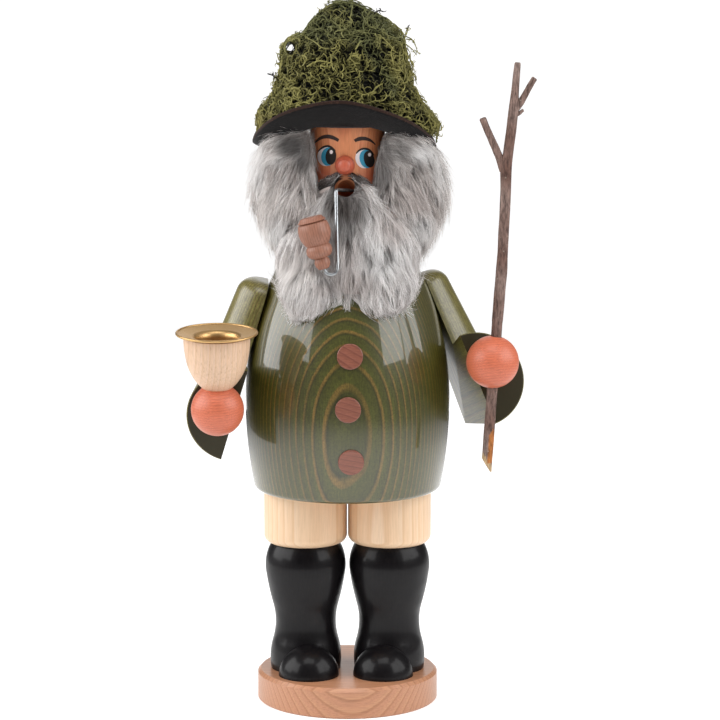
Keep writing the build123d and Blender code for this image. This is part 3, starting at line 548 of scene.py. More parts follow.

# Lighter and darker patches on the fur, by where they are seen: pixel, reach in pixels, colour, strength
SIDE_PATCHES = [
    ((291, 147), (19, 12), SLATE, 1.0), ((303, 163), (11, 10), SLATE, 0.9), ((262, 170), (14, 16), GREIGE, 0.3),
    ((278, 236), (18, 18), WHITE, 1.0), ((268, 205), (12, 24), CREAM, 0.5), ((421, 232), (18, 18), WHITE, 0.8),
    ((412, 200), (18, 22), GREIGE, 0.5), ((318, 178), (10, 10), WHITE, 0.6), ((383, 172), (10, 30), SLATE, 0.65),
    ((402, 152), (14, 12), SLATE, 0.55), ((424, 156), (14, 12), WHITE, 0.9), ((420, 190), (22, 26), MAUVE, 0.3),
    ((276, 162), (10, 8), WHITE, 0.6), ((256, 168), (10, 34), WHITE, 0.8), ((440, 176), (9, 30), WHITE, 0.5)]
BEARD_PATCHES = [
    ((336, 207), (15, 20), SMOKE * 0.7, 1.0), ((352, 210), (16, 22), SMOKE * 0.7, 1.0),
    ((344, 236), (11, 16), SLATE, 0.5), ((340, 255), (22, 14), GREIGE, 0.4), ((300, 278), (20, 24), WHITE, 0.6),
    ((385, 262), (26, 26), WHITE, 0.9), ((300, 275), (22, 22), CREAM, 0.7), ((352, 285), (26, 14), MAUVE, 0.55),
    ((318, 290), (14, 10), MAUVE, 0.4), ((395, 232), (16, 18), GREIGE, 0.6)]


def fur_colours(base, tip, patches, seed):
    """Colours for a tuft: from base to tip, by lock and hair, and by patches where they are seen, with painted shade
    towards the roots.
    """
    def colours(lock, hair, along, points):
        rng = np.random.default_rng(seed)
        lock_mood, hair_mood = rng.random(lock.max() + 1)[lock], rng.random(hair.max() + 1)[hair]
        drift = slow_noise(points, 9, seed)
        towards_tip = 0.55 * lock_mood + 0.35 * hair_mood + 0.35 * along + 0.15 * drift - 0.2
        tone = mix(np.tile(base, (len(along), 1)), tip, towards_tip)
        tone = tone * (0.6 + 0.7 * hair_mood)[:, None]
        tone = mix(tone, WHITE, 0.85 * (hair_mood > 0.84))
        tone = mix(tone, MAUVE * 0.8, 0.6 * (hair_mood < 0.14))
        place = seen_at(points)
        for spot, reach, patch, strength in patches:
            apart = np.linalg.norm((place - spot) / reach, axis=1)
            tone = mix(tone, patch, strength * np.clip(1.5 - 1.2 * apart, 0, 1) * (0.7 + 0.3 * lock_mood))
        # Each hair is darker towards its root: painted shade deep in the pelt
        return tone * ((0.5 + 0.5 * np.clip(along * 2.4, 0, 1)) * (0.84 + 0.3 * lock_mood))[:, None]
    return colours


def down_from(splay, ahead=0.0, part=0.0):
    """The way hair lies: down, spreading from the head and parting from the middle."""
    def flow(points):
        radial = unit(points * np.array([1, 1, 0]))
        side = np.stack([np.tanh(points[..., 0] / 9), 0 * points[..., 0], 0 * points[..., 0]], -1)
        return radial * splay + side * part + np.array([0, -ahead, -1.0])
    return flow


# Where the tufts beside the face end, towards it and away from it, by rows and columns of the photograph
FACE_EDGES = {"right": ([128, 131, 147, 161, 173, 183, 195, 215], [307.5, 305.5, 305.5, 308.5, 313, 315.5, 316, 316]),
              "left": ([128, 137, 153, 164, 180, 190, 203, 215], [386, 384, 380.5, 376, 371.5, 374, 380, 384])}
OUTER_ROWS = [130, 140, 150, 165, 187, 200, 214, 228, 240, 252]
OUTER_EDGES = {"right": (OUTER_ROWS, [264, 261, 258.5, 257, 256, 257, 260, 264, 268, 273]),
               "left": (OUTER_ROWS, [428, 431, 434, 437, 439, 439.5, 438, 435, 431, 426])}


def within_edges(line, side, rng, wild):
    """Hairs of a side tuft pressed, some more than others, into the outline that the tuft has beside the face."""
    place = seen_at(line)
    u, v = place[..., 0], place[..., 1]
    out = -1 if side == "right" else 1
    firm = rng.uniform(0.45, 1.0, (len(line), 1)) * PIXEL
    over_face = np.clip(out * (np.interp(v, *FACE_EDGES[side]) - u), 0, None) * (line[..., 1] < 0)
    over_air = np.clip(out * (u - np.interp(v, *OUTER_EDGES[side])), 0, None)
    over_air = np.where(wild[:, None], 0.35, 1.0) * over_air
    line[..., 0] += out * (over_face - over_air) * firm
    return line


# The beard's lower edge, by columns and rows of the photograph
HEM = ([262, 271.5, 280, 288, 297, 311.6, 325.7, 340, 349, 358.8, 375, 389.4, 406, 416.6, 424],
       [262, 274, 295, 314, 320, 318, 310, 304, 311, 310, 317, 310, 304, 297, 270])


def above_hem(line, rng):
    """Hairs of the beard drawn up, some more than others, to where it ends."""
    place = seen_at(line)
    firm = rng.uniform(0.5, 0.97, (len(line), 1)) * PIXEL
    line[..., 2] += np.clip(place[..., 1] - np.interp(place[..., 0], *HEM), 0, None) * firm
    return line


def parting(place, middle, reach, margin=0.0):
    """How far, in pixels, to move points seen at some places out of an oval round a middle."""
    away = (place - middle) / (reach + margin)
    apart = np.linalg.norm(away, axis=-1)
    return np.where(apart < 1, 1 / (apart + 0.05) - 1, 0)[..., None] * away * reach


def off_mouth(line):
    """Hairs parted round the mouth's opening."""
    push = parting(seen_at(line), np.array([344.6, 186.2]), np.array([11.3, 12.6]))
    line[..., 0] += push[..., 0] * PIXEL
    line[..., 2] -= push[..., 1] * PIXEL
    return line


def outward(rise):
    """The way that hair lies where it leaves the head under the hat: outwards."""
    return lambda points: unit(points * np.array([1, 1, 0])) + np.array([0, -0.15, rise])


def to_temple(points):
    return 0 * points + np.array([0.9, -0.1, 0.7])


def fur(node, name, locks, hairs, length, flow, colours, slot, seed, width, proud, close_to, reach_free):
    """A tuft of pelt over a solid: locks that lie along it and part, each of many tapering hairs, and some strays."""
    rng = np.random.default_rng(seed)
    tree = tree_of(node)
    roots, normals = skin_points(node, locks * (12 if close_to else 1), seed, around=WALLS, reach=reach_free)
    if close_to:
        chosen = np.linalg.norm(roots - close_to[:3], axis=1) < close_to[3]
        roots, normals = roots[chosen][:locks], normals[chosen][:locks]
        locks = len(roots)
    rows, clump, lift = 7, 0.35, 0.35
    length = length * (0.75 + 0.5 * rng.random(locks)) * (1 + 0.2 * slow_noise(roots, 10, seed))
    way = unit(normals * 0.9 + flow(roots) * 0.6 + rng.normal(size=(locks, 3)) * 0.35)
    # Each lock starts a little up the pelt, so that the top edges are covered too
    position = held(tree, roots - normals * 1.6 - unit(flow(roots)) * 2.2, -2.2, -1.0)[0]
    lean = unit(rng.normal(size=(locks, 3))) * 0.35
    path = [position]
    for row in range(1, rows):
        facing = nearest(tree, position)[1]
        pull = flow(position)
        pull = unit(pull - (pull * facing).sum(1, keepdims=True) * facing * 0.8)
        way = unit(way * 0.55 + (pull + lift * facing * (1 - 0.5 * row / rows) + lean) * 0.45)
        position = position + way * (length / (rows - 1))[:, None]
        position, _ = held(tree, position, -1.2, proud * (0.5 + row / rows))
        path.append(position)
    guides = np.stack(path, 1)
    lock = np.repeat(np.arange(locks), hairs)
    count = len(lock)
    share = np.linspace(0, 1, rows)[None, :, None]
    across = unit(np.cross(normals[lock], rng.normal(size=(count, 3))))
    offset = across * (rng.random(count) ** 0.5 * 1.7)[:, None]
    wild = rng.random(count) < WILD_SHARE
    reach = np.where(wild, rng.uniform(1.0, 1.35, count), rng.uniform(0.55, 1.05, count))
    line = guides[lock]
    # Each hair runs along its lock for its own length
    at = np.clip(np.linspace(0, 1, rows)[None] * reach[:, None], 0, None) * (rows - 1)
    low = np.minimum(at.astype(int), rows - 2)
    part = (at - low)[..., None]
    picked = np.arange(count)[:, None]
    line = line[picked, low] * (1 - part) + line[picked, low + 1] * part
    wave = unit(rng.normal(size=(count, 3)))[:, None] * (share**1.5)
    wave = wave * (np.where(wild, 2.6, 1.2) * rng.random(count))[:, None, None]
    hold = np.where(wild, 0.1, clump)[:, None, None]
    # The guard hairs stand off the pelt towards their ends
    stand = normals[lock] * (np.where(wild, 4.0, 0.9) * rng.random(count))[:, None]
    line = line + offset[:, None] * (1 - hold * share**0.8) + wave + stand[:, None] * share**1.6
    line = clear_of_neighbours(line)
    if node.endswith("side_hair"):
        line = within_edges(line, node.split("_")[0], rng, wild)
    elif node != "back_hair":
        line = off_mouth(above_hem(line, rng) if node == "beard" else line)
    widths = width * np.where(wild, 0.85, rng.uniform(0.6, 1.25, count))
    # No piece grows past what its model may hold, so a large tuft is cut into parts
    for number, first in enumerate(range(0, count, HAIRS_A_PIECE)):
        group = slice(first, first + HAIRS_A_PIECE)
        points, quads, along = tubes(line[group], widths[group], seed=seed)
        size = rows * 3
        hair = np.repeat(np.arange(len(lock[group])), size)
        tone = colours(np.repeat(lock[group], size), hair + first, along, points)
        toned_piece(f"{name}_{number + 1}", points, quads, tone, fur_finish, node, slot)


def clear_of_neighbours(line):
    """Hairs moved out of the head and the jacket, but for their roots."""
    for wall in (head_wall, jacket_wall):
        inner = line[:, 1:]
        spots, normals = nearest(wall, inner)
        height = ((inner - spots) * normals).sum(-1, keepdims=True)
        near = np.linalg.norm(inner - spots, axis=-1, keepdims=True) < 12
        line[:, 1:] = inner + np.where(near, np.clip(HAIR_MARGIN - height, 0, None), 0) * normals
    return line


def wool(node, name, colour, slot, depth):
    """The dense wool under the hairs: the solid's own surface, drawn in and mottled."""
    corners, normals, triangles = shell(node)
    tone = np.tile(colour, (len(corners), 1)) * (0.8 + 0.2 * slow_noise(corners, 4, 2))[:, None]
    toned_piece(name, corners - normals * depth, triangles, tone, fur_finish, node, slot)


# Hair doesn't grow where one of these covers the pelt
WALLS = ("jacket", "head", "felt_hat", "left_upper_arm", "right_upper_arm")
head_wall, jacket_wall = tree_of("head"), tree_of("jacket")
# Grey fur: each hair has its own tone and a soft sheen
fur_finish = strands("grey fox fur", 0.5, 0.3)
FEW = 1.0
HAIR_WIDTH = 0.16 if FEW == 1 else 0.4
side_tone = fur_colours(MAUVE, CREAM, SIDE_PATCHES, 3)
beard_tone = fur_colours(GREIGE, WHITE, BEARD_PATCHES, 4)
LIP_PATCHES = [((column, 192), (14, 12), SMOKE * 0.8, 0.9) for column in (326, 363)]
lip_tone = fur_colours(SMOKE * 0.8, MAUVE * 0.7, LIP_PATCHES, 5)
for node, name, locks, hairs, length, flow, tone, seed, close_to in (
        ("right_side_hair", "right_side_fur", 1000, 19, 14, down_from(0.4), side_tone, 11, None),
        ("right_side_hair", "right_top_fur", 230, 16, 13, outward(-0.2), side_tone, 17, (-20, -10, 240, 9)),
        ("right_side_hair", "right_temple_fur", 120, 16, 8, to_temple, side_tone, 19, (-19, -9, 242, 7)),
        ("left_side_hair", "left_side_fur", 1000, 19, 14, down_from(0.4), side_tone, 12, None),
        ("left_side_hair", "left_top_fur", 230, 16, 13, outward(-0.2), side_tone, 18, (20, -10, 240, 9)),
        ("back_hair", "back_fur", 600, 17, 16, down_from(0.25), side_tone, 13, None),
        ("beard", "beard_fur", 1000, 21, 15, down_from(0.12, 0.1, 0.15), beard_tone, 14, None),
        ("beard", "beard_top_fur", 300, 16, 6, down_from(0.1, 0.1, 0.35), beard_tone, 16, (-1.2, -20, 221, 18)),
        ("moustache", "moustache_fur", 420, 16, 5.5, down_from(0.1, 0.1, 0.8), lip_tone, 15, None)):
    lip = node == "moustache"
    proud = 0.9 if lip else 3.6 if "top_fur" in name and "side" in node else 2.0
    fur(node, name, locks, max(5, int(hairs * FEW)), length, flow, tone, "dark_fur" if lip else "grey_fur", seed,
        HAIR_WIDTH, proud, close_to, 0.5 if lip else 1.5)
for node in ("right_side_hair", "left_side_hair", "back_hair", "beard"):
    wool(node, node + "_wool", MAUVE, "grey_fur", 2.2)
wool("moustache", "moustache_wool", SMOKE * 0.75, "dark_fur", 1.8)


# Felt hat

def felt(name, colour, pale):
    """Pressed wool felt: matt, with matted fibres as a soft relief and a few lighter ones."""
    m = blank_material(name)
    spot = add(m, "TexCoord").outputs["Object"]
    matted = {"Vector": spot, "Scale": 1 / (0.7 * MM), "Detail": 5.0, "Roughness": 0.8}
    mat = add(m, "TexNoise", matted).outputs["Fac"]
    slow = add(m, "TexNoise", {"Vector": spot, "Scale": 1 / (5 * MM), "Detail": 3.0}).outputs["Fac"]
    tone = add(m, "ValToRGB", {"Fac": mat}, stops=[(0.4, colour), (0.55, colour), (0.68, pale)]).outputs["Color"]
    height = add(m, "Math", {0: slow, 1: 0.8, 2: mat}, operation="MULTIPLY_ADD").outputs[0]
    bump = add(m, "Bump", {"Height": height, "Strength": 0.5, "Distance": 0.3 * MM}).outputs[0]
    return surface(m, Base_Color=tone, Roughness=0.95, Normal=bump, Specular_IOR_Level=0.1, Sheen_Weight=0.12,
                   Sheen_Roughness=0.5)


HAT_LEVEL, SEAM, FELT = 246.44, 17.25, 1.8


def brim_reach(turn):
    """How far the brim goes out at a turn round the head."""
    return 39.0 * np.cos(turn) ** 2 + 35.5 * np.sin(turn) ** 2


def brim_rise(turn, share):
    """The brim's height over its seam: turned up before and behind, drooping in a curl at the sides."""
    open_up = np.abs(np.sin(turn)) ** 1.2
    up = np.where(np.sin(turn) < 0, 12.3, 9.8) * open_up * share * (0.78 + 0.22 * share)
    down = 9.0 * (1 - open_up) * np.sin(0.72 * np.pi * share)
    return up - down - share * (1.6 * np.cos(turn) - 0.35 * np.sin(3 * turn + 1) - 0.2 * np.sin(7 * turn))


def brim_point(turn, share, lift):
    """A point of the saddle brim at a turn round the head and a share of its breadth."""
    radius = SEAM + share * (brim_reach(turn) - SEAM)
    height = HAT_LEVEL + float(brim_rise(turn, share)) + lift
    return radius * math.cos(turn) - 1.3 * share, radius * math.sin(turn), height


def over_brim(points, firm=1.0):
    """Points moved on to the brim's upper side, and in from its edge."""
    points = points.copy()
    turn = np.arctan2(points[..., 1], points[..., 0])
    radius = np.hypot(points[..., 0], points[..., 1])
    most = brim_reach(turn) - 1.2 + 3.4 * np.clip(np.cos(turn), 0, 1) ** 3
    points[..., :2] *= (1 - firm * (1 - np.minimum(1, most / (radius + 1e-6))))[..., None]
    share = (np.minimum(radius, most) - SEAM) / (brim_reach(turn) - SEAM)
    floor = HAT_LEVEL + brim_rise(turn, np.clip(share, 0, 1)) + FELT + 0.35
    points[..., 2] = np.where(share > 0, np.maximum(points[..., 2], floor), points[..., 2])
    return points


def felt_hat():
    """The hood: the brim's under side, its cut edge, its upper side, and the crown."""
    around, rows = 128, 14
    section = [(0.35 + 0.65 * i / rows, 0.0) for i in range(rows)]
    section += [(0.995, 0.15), (1.0, 0.5), (1.0, 1.1), (0.994, 1.55)]
    section += [(0.985 - 0.985 * i / rows, FELT - 0.05) for i in range(rows + 1)]
    section += [(0.0, FELT + h) for h in (4, 12, 22)]
    turns = [2 * math.pi * i / around for i in range(around)]
    points = [brim_point(turn, share, lift) for share, lift in section for turn in turns] + [(0, 0, HAT_LEVEL + 33)]
    top = len(points) - 1
    faces = rows_of_quads(len(section), around)
    faces += [(top - around + i, top, top - around + (i + 1) % around) for i in range(around)]
    hat = new_piece("felt_hood", points, faces, felt("black wool felt", "#0b090a", "#34302f"), "figure")
    hat.data.materials.append(felt("brown cut felt edge", "#2a1c17", "#5a4036"))
    for face in hat.data.polygons[rows * around : (rows + 3) * around]:
        face.material_index = 1
    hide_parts("felt_hat")


felt_hat()


# Moss

# DEEP is the painted shade in the mat's depths and the tone of a few dark strands
OLIVE, FRESH, DEEP, YELLOW, GREEN, BLACKISH = tones("#56542a", "#8f894d", "#0c0c06", "#95884b", "#4a5337", "#1d1716")


def winding(tree, start, way, lengths, steps, rng, deep, proud):
    """Paths that curl and wander within a layer over a surface."""
    count = len(start)
    axis = unit(rng.normal(size=(count, 3)))
    turn = (rng.choice([-1, 1], count) * rng.uniform(0.2, 1.0, count) * 0.9)[:, None]
    position, way = start, unit(way)
    path = [position]
    for _ in range(steps):
        axis = unit(axis + rng.normal(size=(count, 3)) * 0.3)
        way = unit(way + np.cross(axis, way) * turn + rng.normal(size=(count, 3)) * 0.16)
        position = position + way * (lengths / steps)[:, None]
        held_position, _ = held(tree, position, deep, proud)
        way = unit(way + 0.7 * (held_position - position))
        position = held_position
        path.append(position)
    return np.stack(path, 1)


# Loops, sprigs and twigs that stand out of the mat: width, tone and the pixels that they pass
SPRIGS = [
    (1.15, OLIVE, [(303, 36), (294, 36.5), (285, 42), (280.5, 52), (280, 62), (282, 68)]),
    (0.9, OLIVE, [(296, 40), (297, 47), (293, 53), (285, 57), (280.5, 63)]),
    (0.7, FRESH, [(300, 38), (290, 38.5), (283.5, 46), (281.5, 56)]),
    (0.45, FRESH, [(312, 26), (312.8, 23), (311, 20.6)]),
    (0.8, BLACKISH, [(374, 13.5), (379, 10.4), (383.5, 11.6)]),
    (0.75, FRESH, [(399, 55), (403, 42), (406.5, 34), (408, 28)]),
    (0.9, BLACKISH, [(406.8, 31.5), (407.6, 28.6), (408.2, 26.6)]),
    (0.55, FRESH, [(406, 39), (413, 40), (415.6, 45.6), (418, 53)]),
    (0.5, FRESH, [(405.6, 44), (412.6, 49.6), (417, 55.5)]),
    (0.5, OLIVE, [(405, 36), (411, 38.6), (414.6, 42)]),
    (0.55, FRESH, [(401, 59), (409, 58), (414, 64), (412.4, 70)]),
    (0.6, OLIVE, [(404, 66), (410, 75), (410.8, 83), (406, 86.5)]),
    (0.6, OLIVE, [(412, 90), (418, 98), (420.4, 106), (414, 108)]),
    (0.55, FRESH, [(410, 60), (413.6, 66), (411, 76), (408, 80)]),
    (0.6, BLACKISH, [(267.4, 73.6), (272, 75), (276, 77.6), (280.6, 82)]),
    (0.5, BLACKISH, [(275.4, 72.3), (276.8, 77.4)]),
    (0.5, BLACKISH, [(272, 73), (274, 77.6), (273, 80)]),
    (0.5, BLACKISH, [(270.8, 88.4), (279, 85.6), (282, 87)]),
    (0.5, OLIVE, [(272.6, 92), (278, 90), (283, 92)]),
    (0.5, FRESH, [(427.5, 114), (437, 124), (440, 126)]),
    (0.5, YELLOW, [(424.6, 116.4), (431.6, 124.6), (437, 128.4)]),
    (0.45, FRESH, [(420, 112), (428, 112.6), (434, 116)]),
    (0.5, OLIVE, [(429, 108), (435.6, 117.4), (438, 120.8)]),
    (0.5, YELLOW, [(262, 112), (257, 117), (256.4, 122)]),
    (0.45, FRESH, [(268, 103), (262.6, 107), (258.6, 112)]),
    (0.45, FRESH, [(330, 8), (325, 4.6), (323.6, 3.6)]),
    (0.5, OLIVE, [(324, 14), (318.6, 11.6), (319.6, 9)]),
]

# The mat's outline as the photograph shows it: its left, right and upper edges, rows first or columns first
MAT_LEFT = ([5, 10, 15, 20, 25, 30, 36, 45, 55, 62, 70, 80, 90, 100, 108, 115, 122],
            [326, 321, 318, 315, 309, 305, 298, 281, 281, 283, 281, 280, 276, 268, 262, 258, 255])
MAT_RIGHT = ([10, 15, 20, 27, 35, 45, 55, 65, 75, 85, 90, 100, 110, 118, 124],
             [372, 386, 390, 396, 401, 402, 403, 404, 404, 405, 409, 417, 425, 431, 437])
MAT_TOP = ([300, 313, 321, 330, 338, 352, 362, 372, 388, 400], [38, 20, 12, 5.5, 3.2, 3, 8, 12.5, 19, 30])
HOLE, HOLE_REACH = np.array([290.5, 48.0]), np.array([6.6, 8.0])


def carved(points, inset=0.0, firm=1.0):
    """Points of the mat pressed into its outline, and out of the gap under the loop on its left."""
    points = points.copy()
    place = seen_at(points)
    u, v = place[..., 0], place[..., 1]
    ragged = 1.5 * slow_noise(points.reshape(-1, 3), 3.5, 21).reshape(u.shape)
    left = np.clip(np.interp(v, *MAT_LEFT) + inset + ragged - u, 0, None)
    right = np.clip(u - np.interp(v, *MAT_RIGHT) + inset + ragged, 0, None)
    upper = np.clip(np.interp(u, *MAT_TOP) + inset + 0.6 * ragged - v, 0, None)
    push = parting(place, HOLE, HOLE_REACH, 0.6 * inset)
    points[..., 0] += (left - right) * PIXEL * firm + push[..., 0] * PIXEL
    points[..., 2] -= upper * PIXEL * firm + push[..., 1] * PIXEL
    return points


def from_hole(points, faces):
    """How far the middles of faces are seen from the gap in the mat, as a share of its reach."""
    return np.linalg.norm((seen_at(points[faces].mean(1)) - HOLE) / HOLE_REACH, axis=1)


def smooth_path(corners, rows):
    """Points along a smooth curve through corners."""
    corners = np.array(corners, float)
    last = len(corners) - 1

    def through(at):
        return np.stack([np.interp(at, range(last + 1), corners[:, i]) for i in range(3)], 1)

    at = np.linspace(0, last, rows)
    if last < 2:
        return through(at)
    fine = through(np.linspace(0, last, 160))
    for _ in range(60):
        fine[1:-1] = (fine[:-2] + fine[1:-1] * 2 + fine[2:]) / 4
    return fine[np.round(at / last * 159).astype(int)]


def on_plane(u, v, y):
    """Where the ray through a pixel meets an upright plane, in millimetres."""
    start, way = sight(u, v)
    return np.array(start + way * ((y - start.y) / way.y))


def sprigs(rng):
    """The strands that stand out of the mat, with short curled shoots on them: paths, widths and tones."""
    paths, widths, tints = [], [], []
    for width, tint, pixels in SPRIGS:
        depth = rng.uniform(-6, 2)
        path = smooth_path([on_plane(u, v, depth + rng.normal() * 1.2) for u, v in pixels], 16)
        paths.append(path)
        widths.append(width)
        tints.append(tint)
        length = np.linalg.norm(np.diff(path, axis=0), axis=1).sum()
        for _ in range(int(length * 1.1)):
            start = path[rng.integers(2, 16)]
            way, axis = unit(rng.normal(size=3)), unit(rng.normal(size=3))
            shoot = [start]
            for _ in range(15):
                way = unit(way + np.cross(axis, way) * 0.22)
                shoot.append(shoot[-1] + way * rng.uniform(1.2, 2.6) / 15)
            paths.append(np.array(shoot))
            widths.append(width * rng.uniform(0.45, 0.7))
            tints.append(tint if tint is BLACKISH else FRESH)
    return np.array(paths), np.array(widths), np.array(tints)


MOSS_ROOTS = 4300
# The mat's pieces, by height: no piece holds more than its model may
MOSS_PARTS = (("moss_on_brim", 0, 258), ("moss_on_crown_front", 258, 276), ("moss_on_crown_back", 258, 276),
              ("moss_on_top_front", 276, 400), ("moss_on_top_back", 276, 400))


def moss(node="hat_moss"):
    """A mat of curling strands with side shoots over the hat's crown and brim."""
    rng = np.random.default_rng(31)
    # Preserved moss: dry, matt strands with a faint waxy light
    finish = strands("preserved moss", 0.6, 0.35)
    tree = tree_of(node)
    roots, normals = skin_points(node, int(MOSS_ROOTS * (1.0)), 31, around=("felt_hat",))
    for part, low, high in MOSS_PARTS:
        pick = (roots[:, 2] >= low) & (roots[:, 2] < high)
        if low:
            pick &= (roots[:, 1] < 0) == part.endswith("front")
        out = normals[pick]
        lump = 2.4 * slow_noise(roots[pick], 5, 12)
        number = len(out)
        start = roots[pick] - out * (rng.uniform(0.3, 3.2, number) - lump)[:, None]
        proud = 0.8 + np.clip(lump, -0.8, 2.2)[:, None]
        way = unit(np.cross(out, rng.normal(size=(number, 3)))) + out * rng.normal(size=(number, 1)) * 0.4
        main = winding(tree, start, way, rng.uniform(6, 14, number), 10, rng, -3.6, proud)
        thick = rng.uniform(0.4, 0.85, number)
        firm = rng.uniform(0.35, 1.0, (number, 1))
        layers = [(main, thick, 0.5)]
        for at in (3, 5, 8):
            way = unit(main[:, at] - main[:, at - 1]) + rng.normal(size=(number, 3)) * 0.8
            shoot = winding(tree, main[:, at], way, rng.uniform(1.6, 4.2, number), 4, rng, -3, proud + 1.4)
            layers.append((shoot, thick * 0.75, 0.45))
        mood, points, quads, colours, base = rng.random(number), [], [], [], 0
        for path, width, taper in layers:
            spots, facing = nearest(tree, path)
            depth = np.repeat(((path - spots) * facing).sum(-1).reshape(-1), 3)
            p, q, along = tubes(over_brim(carved(path, 0, firm), firm), width, taper=taper, seed=base + 5)
            q = q[from_hole(p, q) > rng.uniform(0.2, 0.8, len(q))]
            strand = np.repeat(np.arange(number), len(p) // number)
            # Strands are lighter the higher they stand over the mat: painted light on its top
            tone = mix(np.tile(OLIVE, (len(p), 1)), FRESH, 0.75 * mood[strand] + 0.3 * along + 0.2 * depth - 0.1)
            tone = mix(tone, GREEN, 0.6 * np.clip(slow_noise(p, 12, 8) + (p[:, 2] - 278) / 14, 0, 1))
            # Strands go dark deep in the mat, which is painted shade, and a few strands are dark at random
            tone = mix(tone, DEEP, np.clip(-0.44 * depth - 0.05, 0, 0.95) + 0.5 * (mood[strand] < 0.08))
            tone = mix(tone, YELLOW, 0.5 * np.clip((256 - p[:, 2]) / 8, 0, 1) * (p[:, 0] < 10))
            points.append(p)
            quads.append(q + base)
            colours.append(tone)
            base += len(p)
        toned_piece(part, *(np.concatenate(x) for x in (points, quads, colours)), finish, node, "olive_moss")
    paths, widths, tints = sprigs(rng)
    points, quads, _ = tubes(paths, widths, sides=5, taper=0.5, seed=9)
    tints = np.repeat(tints, len(points) // len(paths), 0)
    toned_piece("moss_sprigs", points, quads, tints, finish, node, "olive_moss")
    # A dark sheet of painted shade inside the mat, open at the gap
    corners, outward_ways, triangles = shell(node)
    core = over_brim(carved(corners - outward_ways * 4.2, 8.0))
    triangles = triangles[from_hole(core, triangles) > 1.3]
    dark = np.tile(DEEP * 0.5, (len(corners), 1))
    toned_piece("moss_shade_core", core, triangles, dark, finish, node, "olive_moss")


moss()


# Staff

def bark():
    """Hazel bark: grey violet skin in fine rings and furrows, pale lenticels, raw wood where it is cut."""
    m = blank_material("hazel bark")
    spot = add(m, "TexCoord").outputs["Object"]
    tone = add(m, "Attribute", attribute_name="Tone").outputs["Color"]
    streak = add(m, "VectorMath", {0: spot, 1: (1, 1, 0.2)}, operation="MULTIPLY").outputs[0]
    fine = {"Vector": streak, "Scale": 1 / (0.8 * MM), "Detail": 5.0, "Roughness": 0.7}
    furrow = add(m, "TexNoise", fine).outputs["Fac"]
    shade = add(m, "ValToRGB", {"Fac": furrow}, stops=[(0.36, "#564a47"), (0.6, "#ffffff")]).outputs["Color"]
    tone = add(m, "MixRGB", {"Fac": 0.8, "Color1": tone, "Color2": shade}, blend_type="MULTIPLY").outputs[0]
    spots = add(m, "TexVoronoi", {"Vector": spot, "Scale": 1 / (3.4 * MM)}).outputs["Distance"]
    mask = add(m, "ValToRGB", {"Fac": spots}, stops=[(0.07, "#b0b0b0"), (0.13, "#000000")]).outputs["Color"]
    tone = add(m, "MixRGB", {"Fac": mask, "Color1": tone, "Color2": linear("#a89a8c")}).outputs[0]
    height = add(m, "Math", {0: furrow, 1: 1.0, 2: spots}, operation="MULTIPLY_ADD").outputs[0]
    bump = add(m, "Bump", {"Height": height, "Strength": 0.5, "Distance": 0.3 * MM}).outputs[0]
    return surface(m, Base_Color=tone, Roughness=0.7, Normal=bump, Specular_IOR_Level=0.3)


STAFF_FOOT, STAFF_RADIUS, STAFF_HEIGHT, FOOT_SLANT = -46.5, 2.35, 124.6, 55
STAFF_ORIGIN = np.array([61.213, -32.704, 151.841])
STAFF_AXES = np.array([[0.998, 0, -0.066], [0, 1, 0], [0.066, 0, 0.998]])
# Along the stem's height: how far it bends aside, and its girth, both in radii of the staff
STEM = [(0.0, 0, 1), (0.12, 0, 1), (0.27, 0.05, 0.97), (0.3, 0.1, 1.04), (0.34, 0.06, 0.96), (0.56, -0.2, 0.93),
        (0.65, -0.5, 1.02), (0.7, -0.3, 0.92), (0.78, -0.05, 0.86), (0.85, 0.1, 0.9), (0.9, 0.1, 0.68),
        (1, 0.2, 0.56)]
# Each shoot from a height and side to a height and side, thick and thin
SHOOTS = [(0.64, -0.9, 0.81, -5.1, 0.72, 0.6), (0.84, 0.2, 0.953, 3.55, 0.66, 0.5),
          (0.825, 0.3, 0.845, 2.0, 0.42, 0.24)]


def twig_tube(path, radii, around, seed):
    """A tube along a path in the staff's frame with small bark bumps: points, quads and corners in a ring."""
    tangent = np.gradient(path, axis=0)
    tangent /= np.linalg.norm(tangent, axis=1)[:, None]
    across = np.cross(tangent, np.array([0, 1.0, 0]))
    across /= np.linalg.norm(across, axis=1)[:, None]
    other = np.cross(tangent, across)
    angle = 2 * np.pi * np.arange(around) / around
    ring = across[:, None] * np.cos(angle)[None, :, None] + other[:, None] * np.sin(angle)[None, :, None]
    flat = (path[:, None] + ring * radii[:, None, None]).reshape(-1, 3)
    swell = 0.06 * slow_noise(flat * np.array([1, 1, 0.5]), 1.1, seed) + 0.05 * slow_noise(flat, 4, seed + 1)
    quads = np.array(rows_of_quads(len(path), around))[:, [0, 3, 2, 1]]
    return flat + ring.reshape(-1, 3) * swell[:, None], quads, around


